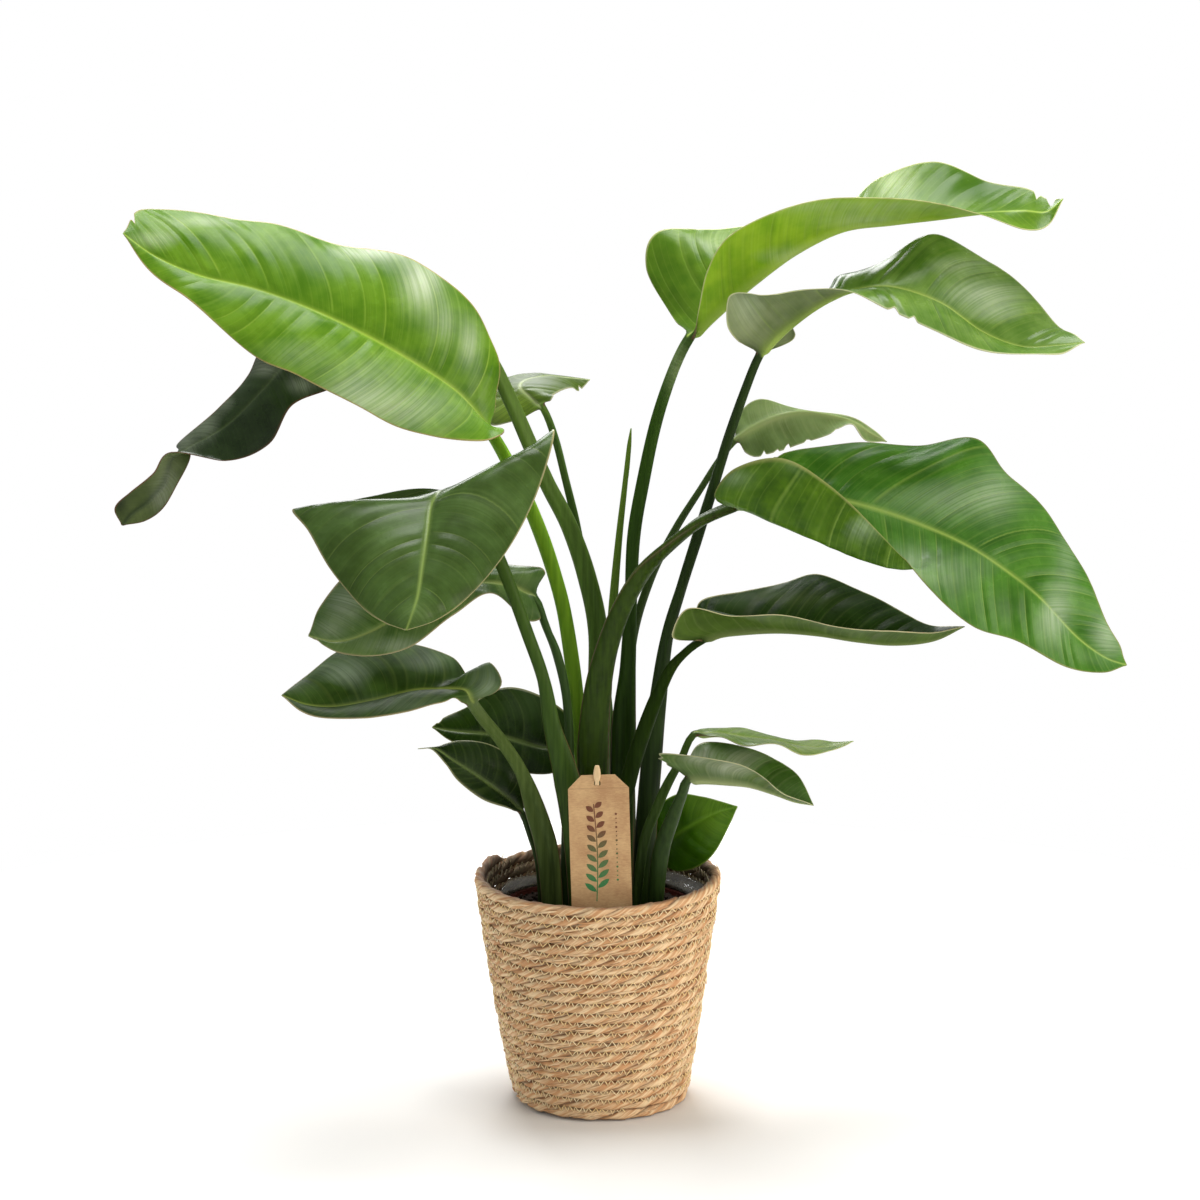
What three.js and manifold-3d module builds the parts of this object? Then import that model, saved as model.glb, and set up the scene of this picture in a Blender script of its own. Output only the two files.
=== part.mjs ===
// Potted bird of paradise in a coiled seagrass basket, with its liner, grower's pot, soil, tag and stick.
// Millimetres. +Z is up, the front is at -Y, and the origin is the middle of the basket's flat underside.

import * as THREE from 'three';
import { mergeVertices } from 'three/addons/utils/BufferGeometryUtils.js';
import Module from 'manifold-3d';

const wasm = await Module();
wasm.setup();

// Driving dimensions of the basket

const BASKET_HEIGHT = 241;
const BASKET_BASE_RADIUS = 92;
const BASKET_RIM_RADIUS = 130;
const BASKET_FLARE_POWER = 0.85;
const ROPE_DIAMETER = 12;
const COIL_ROWS = 22;
const COIL_GROOVE = 2.2;
const ROPE_ROUNDING = 2;
const UNDERSIDE_INSET = 9;
const FLOOR_COVE = 6;
const INSIDE_HEIGHTS = [235, 170, 100, 45, 20];
const RIM_LEAN = 4;
const BASKET_SIDES = 36;

// Driving dimensions of what stands in it

const CLEARANCE = 0.3;
const LINER_THICKNESS = 0.8;
const LINER_GAP = 1.2;
const LINER_HEIGHTS = [24, 100, 222];
const POT_TOP = 206;
const POT_TOP_RADIUS = 103;
const POT_BASE_RADIUS = 72;
const POT_WALL = 1.6;
const POT_LIP = 2.4;
const POT_LIP_HEIGHT = 10;
const DRAIN_HOLE_RADIUS = 7;
const DRAIN_HOLE_RING = 48;
const DRAIN_HOLES = 6;
const SOIL_TOP = 198;
const SOIL_EDGE = 4;
const FOOT_DEPTH = 34;
const FOOT_CLEARANCE = 0.4;
const ROUND_SIDES = 32;

// Driving dimensions of the tag and its stick

const TAG_WIDTH = 62;
const TAG_TOP = 369;
const TAG_BOTTOM = 203;
const TAG_CORNER = 14;
const TAG_THICKNESS = 0.8;
const TAG_FRONT = -94;
const TAG_TURN = THREE.MathUtils.degToRad(1.7);
const SLOT_WIDTH = 9.4;
const SLOT_HEIGHT = 9;
const SLOT_BELOW_TOP = 16;
const STICK_WIDTH = 7;
const STICK_THICKNESS = 2.4;
const STICK_NECK = 1.3;
const STICK_BEND = 0.5;
const STICK_X = -1;
const STICK_TOP = 381;
const STICK_FOOT = 160;
const STICK_SIDES = 8;

// The leaves were laid out along lines of sight from one viewpoint in front of the plant.
// A sighting is [across, up, depth]: across and up are read on the plane through the basket's axis,
// and depth says how far behind that plane the point really lies (in front of it when negative).

const EYE_DISTANCE = 2840;
const EYE_HEIGHT = 984;

const BLADE_THICKNESS = 1.2;
const MARGIN_WAVE_LENGTH = 64;
const LEFT_WAVE_PHASE = 1.7;
const TIP_WIDTH_SHARE = 0.05;
const CLOSEST_STATIONS = 0.03;
const NECK_SHARE = 0.95;
const TWIST_START = 0.3;
const RIB_SHARE = 0.8;
const RIB_TAPER = 1.3;

// Columns across a blade, from its left margin (-1) over the midrib (0) to its right margin (1)
const WIDE_COLUMNS = [-1, -0.62, -0.14, 0, 0.14, 0.62, 1];
const NARROW_COLUMNS = [-1, -0.5, 0, 0.5, 1];

// For each leaf: foot is [x, y, width, thickness] where its stalk enters the soil. Each row of stalk is a
// sighting with the stalk's width and thickness there. Each row of blade holds the sightings of the
// midrib, the left margin and the right margin, and where the blade curls also those of the middle of its
// left and right halves. Left and right are seen looking down on the leaf's upper face from its foot.

const LEAVES = {
  leaf_01: {
    colour: '#6d9a35',
    columns: WIDE_COLUMNS,
    camber: 0.07,
    wave: 1.5,
    foot: [-8, 12, 13, 11],
    stalk: [
      [-12, 300, 10, 14, 11],
      [-20, 400, 6, 16, 12],
      [-26, 460, 4, 16, 12],
      [-35, 520, 2, 15, 12],
      [-45, 560, 0, 15, 12],
      [-58, 600, -3, 16, 12],
      [-75, 642, -6, 16, 12],
      [-96, 684, -9, 15, 12],
    ],
    blade: [
      [[-108, 705, -11], [-93, 712, -26], [-112, 716, -2]],
      [[-124, 729, -16], [-118, 700, -48], [-104, 745, 4]],
      [[-148, 754, -22], [-158, 703, -66], [-104, 790, 14]],
      [[-185, 779, -28], [-200, 712, -76], [-130, 840, 22]],
      [[-232, 806, -34], [-248, 736, -84], [-185, 884, 26]],
      [[-290, 834, -38], [-305, 766, -88], [-262, 901, 27]],
      [[-350, 856, -40], [-353, 788, -84], [-335, 922, 22]],
      [[-405, 869, -42], [-420, 846, -66], [-400, 931, 10]],
      [[-450, 888, -44], [-458, 874, -54], [-462, 937, -12]],
      [[-484, 912, -46]],
    ],
  },
  leaf_02: {
    colour: '#2f4a1e',
    columns: WIDE_COLUMNS,
    camber: 0.05,
    wave: 1,
    foot: [2, 36, 20, 13],
    stalk: [
      [2, 310, 38, 22, 13],
      [0, 420, 40, 23, 13],
      [0, 500, 42, 21, 13],
      [-12, 560, 43, 20, 13],
      [-30, 612, 44, 18, 13],
      [-52, 655, 44, 17, 13],
      [-71, 698, 44, 17, 13],
      [-90, 742, 42, 17, 13],
    ],
    blade: [
      [[-112, 785, 42], [-113, 772, 36], [-110, 798, 48]],
      [[-142, 812, 48], [-140, 770, 50], [-146, 842, 66]],
      [[-200, 830, 55], [-190, 775, 60], [-205, 868, 86]],
      [[-262, 818, 58], [-240, 768, 56], [-275, 862, 92]],
      [[-312, 788, 56], [-276, 753, 46], [-332, 820, 88]],
      [[-346, 752, 52], [-314, 737, 34], [-360, 768, 78]],
      [[-383, 716, 48], [-339, 697, 24], [-390, 733, 70]],
      [[-418, 694, 44], [-384, 679, 24], [-427, 701, 62]],
      [[-440, 678, 42], [-440, 689, 27], [-420, 686, 56]],
      [[-448, 656, 40], [-459, 666, 32], [-434, 656, 48]],
      [[-464, 638, 38], [-480, 646, 34], [-449, 631, 44]],
      [[-482, 624, 37], [-497, 629, 34], [-468, 617, 41]],
      [[-493, 612, 36]],
    ],
  },
  leaf_03: {
    colour: '#8a9a78',
    columns: NARROW_COLUMNS,
    camber: 0.06,
    wave: 1,
    foot: [22, 60, 10, 9],
    stalk: [
      [18, 320, 62, 10, 9],
      [10, 430, 64, 9, 8],
      [-2, 520, 65, 9, 8],
      [-14, 570, 65, 9, 8],
      [-24, 620, 65, 9, 8],
      [-34, 662, 65, 8, 8],
      [-44, 702, 65, 8, 8],
    ],
    blade: [
      [[-56, 733, 66], [-60, 730, 70], [-52, 737, 61]],
      [[-70, 746, 86], [-92, 719, 96], [-46, 745, 66]],
      [[-80, 756, 112], [-113, 718, 128], [-46, 748, 84]],
      [[-74, 763, 140], [-113, 745, 160], [-38, 752, 108]],
      [[-52, 767, 160], [-92, 766, 184], [-27, 754, 134]],
      [[-30, 765, 172], [-50, 767, 188], [-19, 752, 158]],
      [[-8, 763, 176]],
    ],
  },
  leaf_04: {
    colour: '#47633a',
    columns: WIDE_COLUMNS,
    camber: 0.06,
    wave: 1,
    foot: [-17, -42, 24, 13],
    stalk: [
      [-22, 270, -46, 27, 13],
      [-32, 340, -50, 28, 12],
      [-48, 400, -54, 18, 12],
      [-57, 450, -57, 13, 12],
      [-74, 500, -58, 13, 12],
      [-90, 545, -57, 13, 12],
      [-106, 585, -54, 13, 12],
    ],
    blade: [
      [[-124, 618, -52], [-114, 624, -50], [-134, 616, -56]],
      [[-142, 642, -56], [-62, 693, -38], [-216, 642, -62], [-102, 666, -50], [-178, 650, -60]],
      [[-160, 650, -66], [-46, 712, -44], [-290, 630, -74], [-103, 674, -58], [-225, 634, -74]],
      [[-172, 634, -94], [-48, 692, -66], [-316, 628, -92]],
      [[-177, 605, -124], [-66, 638, -98], [-300, 606, -118]],
      [[-182, 572, -152], [-94, 586, -132], [-278, 566, -146]],
      [[-187, 540, -176], [-132, 540, -162], [-245, 526, -172]],
      [[-194, 518, -190], [-165, 514, -180], [-222, 510, -186]],
      [[-200, 502, -194]],
    ],
  },
  leaf_05: {
    colour: '#3c5a2a',
    columns: WIDE_COLUMNS,
    camber: 0.08,
    wave: 2,
    foot: [-35, -12, 11, 10],
    stalk: [
      [-33, 290, -16, 11, 10],
      [-30, 370, -19, 10, 9],
      [-33, 430, -21, 9, 9],
      [-42, 474, -23, 10, 9],
      [-55, 509, -25, 9, 9],
    ],
    blade: [
      [[-66, 536, -27], [-50, 520, -34], [-53, 553, -20]],
      [[-90, 549, -30], [-72, 512, -44], [-62, 569, -12]],
      [[-125, 552, -38], [-112, 540, -54], [-110, 574, -10]],
      [[-165, 540, -50], [-150, 519, -72], [-168, 586, -16]],
      [[-205, 518, -64], [-192, 486, -88], [-225, 584, -30]],
      [[-240, 499, -76], [-235, 475, -94], [-268, 556, -48]],
      [[-272, 490, -84], [-270, 478, -92], [-290, 524, -66]],
      [[-302, 496, -86]],
    ],
  },
  leaf_06: {
    colour: '#40652a',
    columns: WIDE_COLUMNS,
    camber: 0.08,
    wave: 1,
    foot: [-46, -42, 21, 13],
    stalk: [
      [-53, 262, -46, 24, 13],
      [-66, 310, -50, 22, 12],
      [-80, 350, -54, 14, 11],
      [-101, 384, -58, 13, 11],
      [-120, 408, -60, 13, 11],
    ],
    blade: [
      [[-131, 424, -62], [-139, 421, -68], [-120, 426, -56]],
      [[-138, 438, -64], [-150, 430, -84], [-101, 446, -44]],
      [[-154, 440, -67], [-164, 425, -94], [-116, 466, -28]],
      [[-170, 440, -70], [-180, 421, -102], [-132, 450, -24]],
      [[-195, 438, -74], [-205, 415, -110], [-153, 474, -16]],
      [[-235, 428, -80], [-245, 408, -116], [-200, 489, -14]],
      [[-275, 421, -86], [-285, 409, -114], [-260, 484, -22]],
      [[-305, 423, -90], [-312, 417, -106], [-304, 455, -52]],
      [[-331, 433, -90]],
    ],
  },
  leaf_07: {
    colour: '#2c4a1a',
    columns: NARROW_COLUMNS,
    camber: 0.05,
    wave: 1,
    foot: [-31, 22, 12, 10],
    stalk: [
      [-29, 280, 24, 12, 10],
      [-27, 330, 24, 11, 9],
      [-28, 362, 23, 10, 9],
    ],
    blade: [
      [[-36, 376, 22], [-32, 371, 18], [-31, 384, 26]],
      [[-62, 378, 19], [-44, 351, 12], [-30, 410, 32]],
      [[-90, 386, 18], [-76, 350, 9], [-62, 434, 38]],
      [[-116, 392, 17], [-106, 363, 8], [-98, 441, 40]],
      [[-142, 394, 16], [-134, 377, 8], [-136, 421, 32]],
      [[-159, 396, 15], [-156, 385, 9], [-159, 411, 24]],
      [[-174, 399, 14]],
    ],
  },
  leaf_08: {
    colour: '#2f4f1f',
    columns: NARROW_COLUMNS,
    camber: 0.08,
    wave: 1,
    foot: [-57, -16, 10, 9],
    stalk: [
      [-62, 252, -18, 9, 8],
      [-71, 282, -19, 7, 7],
    ],
    blade: [
      [[-80, 307, -20], [-83, 306, -25], [-76, 309, -15]],
      [[-93, 321, -23], [-96, 313, -38], [-68, 335, -12]],
      [[-112, 336, -26], [-122, 322, -44], [-80, 360, -8]],
      [[-133, 351, -28], [-147, 341, -43], [-112, 380, -8]],
      [[-153, 364, -29], [-160, 360, -37], [-146, 384, -14]],
      [[-174, 379, -29]],
    ],
  },
  leaf_09: {
    colour: '#76a32c',
    columns: WIDE_COLUMNS,
    camber: -0.04,
    wave: 0,
    tears: [
      { side: -1, at: 9.45, deep: 0.3, half: 0.15 },
      { side: -1, at: 10.3, deep: 0.9, half: 0.28 },
    ],
    foot: [25, 8, 23, 13],
    stalk: [
      [25, 300, 8, 26, 12],
      [27, 400, 7, 26, 12],
      [31, 460, 6, 17, 12],
      [34, 530, 5, 13, 12],
      [37, 600, 4, 14, 12],
      [47, 660, 2, 14, 12],
      [60, 720, 0, 13, 12],
      [77, 772, -2, 12, 11],
    ],
    blade: [
      [[93, 805, -4], [88, 811, 3], [99, 809, -10]],
      [[109, 822, -6], [72, 834, 42], [104, 840, -30]],
      [[131, 841, -8], [49, 878, 70], [112, 875, -44]],
      [[160, 865, -10], [62, 914, 84], [132, 908, -52]],
      [[202, 895, -9], [130, 917, 84], [176, 932, -54]],
      [[250, 917, -6], [240, 936, 82], [226, 946, -52]],
      [[300, 923, -2], [286, 968, 74], [280, 948, -46]],
      [[350, 928, 0], [342, 984, 66], [335, 944, -38]],
      [[394, 933, 0], [396, 964, 52], [390, 931, -28]],
      [[432, 935, 0], [436, 957, 36], [434, 916, -20]],
      [[456, 934, 0], [456, 947, 22], [458, 920, -14]],
      [[473, 947, 0]],
    ],
  },
  leaf_10: {
    colour: '#51733a',
    columns: WIDE_COLUMNS,
    camber: 0.06,
    wave: 3,
    foot: [46, -12, 21, 13],
    stalk: [
      [50, 280, -14, 23, 13],
      [56, 360, -17, 22, 12],
      [63, 430, -20, 18, 12],
      [72, 495, -22, 13, 11],
      [87, 548, -24, 11, 10],
      [103, 600, -26, 12, 10],
      [119, 652, -27, 11, 10],
      [135, 705, -28, 11, 10],
      [151, 752, -29, 10, 9],
    ],
    blade: [
      [[165, 787, -30], [171, 790, -25], [159, 788, -38]],
      [[178, 803, -32], [198, 804, -8], [133, 818, -60]],
      [[196, 819, -35], [202, 821, 4], [133, 848, -72]],
      [[218, 835, -38], [222, 837, 10], [162, 848, -74]],
      [[239, 847, -40], [241, 860, 10], [196, 855, -70]],
      [[262, 855, -43], [254, 873, 4], [256, 851, -68]],
      [[300, 858, -48], [298, 887, 2], [297, 837, -86]],
      [[350, 842, -52], [347, 911, 8], [338, 814, -94]],
      [[394, 812, -55], [405, 880, 0], [388, 797, -92]],
      [[434, 797, -57], [455, 835, -18], [436, 787, -84]],
      [[470, 798, -59], [480, 814, -38], [474, 791, -74]],
      [[499, 801, -60]],
    ],
  },
  leaf_11: {
    colour: '#8ea76a',
    columns: NARROW_COLUMNS,
    camber: 0.05,
    wave: 2,
    foot: [36, 38, 11, 9],
    stalk: [
      [34, 320, 36, 11, 9],
      [32, 410, 34, 10, 9],
      [36, 490, 33, 9, 8],
      [54, 555, 34, 9, 8],
      [80, 608, 37, 8, 8],
      [106, 650, 42, 7, 7],
      [125, 680, 50, 7, 7],
    ],
    blade: [
      [[140, 699, 58], [143, 696, 54], [139, 703, 61]],
      [[160, 713, 62], [161, 683, 52], [146, 729, 71]],
      [[184, 724, 65], [182, 688, 53], [164, 742, 79]],
      [[210, 729, 67], [207, 697, 54], [194, 737, 82]],
      [[238, 726, 69], [237, 705, 58], [230, 730, 80]],
      [[261, 720, 71], [262, 718, 65], [264, 722, 77]],
      [[280, 708, 71], [277, 700, 66], [283, 713, 75]],
      [[298, 699, 71]],
    ],
  },
  leaf_12: {
    colour: '#3f6b24',
    columns: WIDE_COLUMNS,
    camber: 0.06,
    wave: 1.5,
    foot: [-4, -12, 27, 14],
    stalk: [
      [-5, 300, -17, 30, 14],
      [-5, 380, -22, 33, 14],
      [0, 440, -27, 28, 14],
      [10, 485, -33, 21, 14],
      [25, 526, -40, 18, 14],
      [48, 565, -47, 18, 14],
      [78, 595, -53, 17, 13],
      [108, 618, -57, 15, 12],
    ],
    blade: [
      [[140, 632, -60], [137, 640, -52], [128, 630, -66]],
      [[165, 640, -62], [160, 668, -38], [121, 646, -92], null, [146, 630, -84]],
      [[198, 643, -65], [202, 690, -22], [142, 672, -108], null, [178, 616, -104]],
      [[240, 641, -68], [258, 697, -10], [190, 682, -116], null, [222, 598, -114]],
      [[290, 629, -72], [328, 696, -4], [238, 655, -122], null, [268, 578, -118]],
      [[340, 611, -76], [390, 701, 0], [290, 606, -126], null, [314, 566, -118]],
      [[385, 590, -80], [425, 664, -14], [348, 543, -126]],
      [[425, 564, -84], [468, 622, -32], [390, 506, -120]],
      [[460, 536, -88], [502, 568, -52], [436, 491, -112]],
      [[498, 496, -92], [530, 512, -76], [486, 464, -107]],
      [[528, 474, -94], [545, 482, -86], [526, 457, -102]],
      [[552, 465, -96]],
    ],
  },
  leaf_13: {
    colour: '#3a5526',
    columns: WIDE_COLUMNS,
    camber: 0.05,
    wave: 1,
    foot: [13, -42, 19, 13],
    stalk: [
      [19, 280, -45, 19, 13],
      [34, 350, -50, 17, 13],
      [47, 392, -54, 16, 12],
      [61, 430, -58, 15, 12],
      [76, 462, -63, 13, 11],
      [92, 480, -67, 10, 9],
    ],
    blade: [
      [[109, 492, -70], [104, 499, -64], [97, 489, -78]],
      [[128, 499, -71], [106, 533, -42], [77, 496, -98]],
      [[158, 502, -73], [150, 542, -26], [92, 524, -112]],
      [[192, 502, -75], [194, 553, -16], [134, 518, -118]],
      [[230, 498, -77], [230, 560, -12], [185, 518, -118]],
      [[270, 491, -79], [276, 543, -22], [240, 508, -115]],
      [[310, 487, -81], [316, 521, -38], [295, 501, -108]],
      [[350, 491, -83], [350, 507, -58], [345, 500, -98]],
      [[382, 506, -85]],
    ],
  },
  leaf_14: {
    colour: '#6f9344',
    columns: NARROW_COLUMNS,
    camber: 0.04,
    wave: 2,
    foot: [37, -44, 10, 9],
    stalk: [
      [48, 272, -46, 11, 9],
      [61, 310, -46, 11, 9],
      [73, 338, -45, 10, 8],
      [86, 362, -42, 8, 8],
    ],
    blade: [
      [[100, 391, -38], [97, 393, -33], [106, 389, -43]],
      [[124, 393, -34], [116, 399, 8], [132, 387, -66]],
      [[152, 389, -30], [146, 397, 24], [158, 380, -78]],
      [[182, 385, -26], [178, 391, 28], [188, 379, -76]],
      [[212, 379, -22], [210, 384, 22], [216, 371, -62]],
      [[240, 378, -20], [240, 384, 4], [243, 372, -42]],
      [[268, 384, -18]],
    ],
  },
  leaf_15: {
    colour: '#5f7f4a',
    columns: NARROW_COLUMNS,
    camber: 0.05,
    wave: 2,
    foot: [57, -49, 17, 13],
    stalk: [
      [66, 262, -58, 18, 12],
      [78, 300, -68, 15, 11],
      [88, 326, -78, 12, 10],
    ],
    blade: [
      [[95, 344, -86], [98, 350, -80], [89, 348, -93]],
      [[112, 344, -87], [96, 368, -64], [62, 368, -112]],
      [[136, 341, -87], [110, 383, -54], [100, 370, -122]],
      [[160, 337, -87], [150, 377, -48], [140, 361, -122]],
      [[185, 328, -87], [182, 368, -50], [170, 346, -116]],
      [[207, 319, -88], [208, 350, -64], [196, 329, -106]],
      [[227, 315, -89]],
    ],
  },
  leaf_16: {
    colour: '#5d962a',
    columns: NARROW_COLUMNS,
    camber: 0.04,
    wave: 0.8,
    foot: [57, 42, 9, 8],
    stalk: [
      [57, 240, 44, 8, 7],
    ],
    blade: [
      [[62, 258, 45], [59, 262, 46], [66, 253, 43]],
      [[74, 276, 42], [61, 308, 49], [84, 244, 34]],
      [[93, 290, 38], [82, 327, 46], [106, 249, 28]],
      [[113, 301, 34], [108, 325, 40], [123, 264, 26]],
      [[131, 309, 30], [128, 320, 33], [138, 293, 27]],
      [[147, 314, 28]],
    ],
  },
};

// The newest leaf is still rolled into a spear. Rows are sightings with the width of the roll.
const SPEAR = {
  colour: '#5a8a2a',
  foot: [4, 21, 9, 9],
  rows: [
    [6, 320, 22, 10],
    [10, 440, 22, 10],
    [16, 530, 21, 10],
    [22, 600, 20, 8],
    [28, 655, 19, 6.5],
    [32, 695, 18, 5],
    [34, 713, 18, 1.5],
  ],
};
const SPEAR_SIDES = 8;

const RIGHT = new THREE.Vector3(1, 0, 0);
const BACK = new THREE.Vector3(0, 1, 0);
const UP = new THREE.Vector3(0, 0, 1);

const group = new THREE.Group();

function addMesh(name, geometry, colour, roughness) {
  const material = new THREE.MeshStandardMaterial({ color: colour, roughness, metalness: 0 });
  const mesh = new THREE.Mesh(geometry, material);
  mesh.name = name;
  group.add(mesh);
}

// Closed solids in and out of manifold-3d

function toSolid(geometry) {
  const plain = geometry.clone();
  plain.deleteAttribute('normal');
  plain.deleteAttribute('uv');
  const merged = mergeVertices(plain, 1e-4);
  return new wasm.Manifold(new wasm.Mesh({
    numProp: 3,
    vertProperties: new Float32Array(merged.attributes.position.array),
    triVerts: new Uint32Array(merged.index.array),
  }));
}

function toGeometry(solid) {
  const mesh = solid.getMesh();
  const geometry = new THREE.BufferGeometry();
  geometry.setAttribute('position', new THREE.BufferAttribute(mesh.vertProperties, 3));
  geometry.setIndex(new THREE.BufferAttribute(mesh.triVerts, 1));
  return geometry;
}

function turnedSolid(profile, sides) {
  const points = profile.map(([radius, height]) => new THREE.Vector2(radius, height));
  return new THREE.LatheGeometry(points, sides).rotateX(Math.PI / 2);
}

// Basket: coils of rope, one above the other, seen as rows of round ridges on the outside

const ROPE_RADIUS = ROPE_DIAMETER / 2;

function basketRadius(height) {
  const share = Math.max(height, 0) / (BASKET_HEIGHT - ROPE_RADIUS);
  return BASKET_BASE_RADIUS + (BASKET_RIM_RADIUS - BASKET_BASE_RADIUS) * share ** BASKET_FLARE_POWER;
}

function innerRadius(height) {
  return basketRadius(height) - ROPE_DIAMETER;
}

function makeBasket() {
  const pitch = (BASKET_HEIGHT - ROPE_DIAMETER) / (COIL_ROWS - 1);
  const profile = [
    [0, 0],
    [BASKET_BASE_RADIUS - UNDERSIDE_INSET, 0],
    [BASKET_BASE_RADIUS - ROPE_ROUNDING, ROPE_ROUNDING],
  ];
  for (let row = 0; row < COIL_ROWS; row += 1) {
    const height = ROPE_RADIUS + row * pitch;
    profile.push([basketRadius(height), height]);
    if (row < COIL_ROWS - 1) {
      const groove = height + pitch / 2;
      profile.push([basketRadius(groove) - COIL_GROOVE, groove]);
    }
  }
  const shoulder = BASKET_HEIGHT - ROPE_ROUNDING;
  profile.push([BASKET_RIM_RADIUS - ROPE_ROUNDING, shoulder]);
  profile.push([BASKET_RIM_RADIUS - ROPE_RADIUS, BASKET_HEIGHT]);
  profile.push([BASKET_RIM_RADIUS - ROPE_DIAMETER + ROPE_ROUNDING, shoulder]);
  for (const height of INSIDE_HEIGHTS) {
    profile.push([innerRadius(height), height]);
  }
  profile.push([innerRadius(ROPE_DIAMETER) - FLOOR_COVE, ROPE_DIAMETER]);
  profile.push([0, ROPE_DIAMETER]);

  const geometry = turnedSolid(profile, BASKET_SIDES);
  const place = geometry.attributes.position;
  for (let i = 0; i < place.count; i += 1) {
    const towardBack = place.getY(i) / BASKET_RIM_RADIUS;
    const lean = RIM_LEAN * towardBack * (place.getZ(i) / BASKET_HEIGHT) ** 4;
    place.setZ(i, place.getZ(i) + lean);
  }
  return geometry;
}

function makeLiner() {
  const floor = ROPE_DIAMETER + CLEARANCE;
  const corner = innerRadius(ROPE_DIAMETER) - FLOOR_COVE - LINER_GAP;
  const outside = LINER_HEIGHTS.map((height) => [innerRadius(height) - LINER_GAP, height]);
  const inside = outside.map(([radius, height]) => [radius - LINER_THICKNESS, height]).reverse();
  return turnedSolid([
    [0, floor],
    [corner, floor],
    ...outside,
    ...inside,
    [corner - LINER_THICKNESS / 2, floor + LINER_THICKNESS],
    [0, floor + LINER_THICKNESS],
  ], ROUND_SIDES);
}

const POT_FLOOR = ROPE_DIAMETER + LINER_THICKNESS + 2 * CLEARANCE;
const POT_SHOULDER = POT_TOP - POT_LIP_HEIGHT;

function makePot() {
  const inner = POT_TOP_RADIUS - POT_WALL;
  const holes = Array.from({ length: DRAIN_HOLES }, (_, i) => {
    const angle = (2 * Math.PI * i) / DRAIN_HOLES;
    const hole = new THREE.CylinderGeometry(DRAIN_HOLE_RADIUS, DRAIN_HOLE_RADIUS, 4 * POT_WALL, 10);
    hole.rotateX(Math.PI / 2);
    hole.translate(DRAIN_HOLE_RING * Math.cos(angle), DRAIN_HOLE_RING * Math.sin(angle), POT_FLOOR);
    return toSolid(hole);
  });
  const body = toSolid(turnedSolid([
    [0, POT_FLOOR],
    [POT_BASE_RADIUS, POT_FLOOR],
    [POT_TOP_RADIUS - 1, POT_SHOULDER],
    [POT_TOP_RADIUS + POT_LIP, POT_SHOULDER],
    [POT_TOP_RADIUS + POT_LIP, POT_TOP],
    [inner, POT_TOP],
    [inner - 1, POT_SHOULDER],
    [POT_BASE_RADIUS - POT_WALL, POT_FLOOR + POT_WALL],
    [0, POT_FLOOR + POT_WALL],
  ], ROUND_SIDES));
  return toGeometry(wasm.Manifold.difference([body, ...holes]));
}

// Points and sections along a leaf

function sighted([across, up, depth]) {
  const back = depth / EYE_DISTANCE;
  return new THREE.Vector3(across * (1 + back), depth, up + (up - EYE_HEIGHT) * back);
}

function smoothCurve(points) {
  const curve = new THREE.CatmullRomCurve3(points, false, 'catmullrom', 0.5);
  return (row) => curve.getPoint(Math.min(row / (points.length - 1), 1));
}

function between(values, row) {
  const first = Math.min(Math.floor(row), values.length - 2);
  return THREE.MathUtils.lerp(values[first], values[first + 1], row - first);
}

function ellipseRing(centre, left, normal, width, thickness, count) {
  return Array.from({ length: count }, (_, i) => {
    const angle = ((i + 0.5) * 2 * Math.PI) / count;
    return centre.clone()
      .addScaledVector(left, (width / 2) * Math.cos(angle))
      .addScaledVector(normal, (thickness / 2) * Math.sin(angle));
  });
}

// One closed skin over a row of rings that all have the same number of points. Each ring runs over the
// upper face from left to right and back under the lower face, and both faces share their diagonals.

function skin(rings) {
  const count = rings[0].length;
  const half = count / 2;
  const positions = rings.flat().flatMap((point) => point.toArray());
  const index = [];
  for (let k = 0; k < rings.length - 1; k += 1) {
    for (let i = 0; i < count; i += 1) {
      const next = (i + 1) % count;
      const a = k * count + i;
      const b = k * count + next;
      const c = (k + 1) * count + next;
      const d = (k + 1) * count + i;
      if (i < half) {
        index.push(a, b, d, b, c, d);
      } else {
        index.push(a, b, c, a, c, d);
      }
    }
  }
  const last = (rings.length - 1) * count;
  for (let i = 1; i < half; i += 1) {
    const lower = count - i;
    index.push(i - 1, lower, i, i, lower, lower - 1);
    index.push(last + i - 1, last + i, last + lower, last + i, last + lower - 1, last + lower);
  }
  const geometry = new THREE.BufferGeometry();
  geometry.setAttribute('position', new THREE.Float32BufferAttribute(positions, 3));
  geometry.setIndex(index);
  return geometry;
}

// The straight foot of a stalk, and the hole in the soil that takes it with a little room all round

function footColumn([x, y, width, thickness], left, count, heights, room) {
  const normal = UP.clone().cross(left);
  const grow = (2 * room) / Math.cos(Math.PI / count);
  return heights.map((height) => (
    ellipseRing(new THREE.Vector3(x, y, height), left, normal, width + grow, thickness + grow, count)
  ));
}

function footRings(foot, left, count) {
  return footColumn(foot, left, count, [SOIL_TOP - FOOT_DEPTH, SOIL_TOP], 0);
}

function footHole(foot, left, count) {
  const heights = [SOIL_TOP - FOOT_DEPTH - FOOT_CLEARANCE, SOIL_TOP + 5];
  return skin(footColumn(foot, left, count, heights, FOOT_CLEARANCE));
}

// Blade: five lines of sightings along the leaf, joined across by a smooth section

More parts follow.
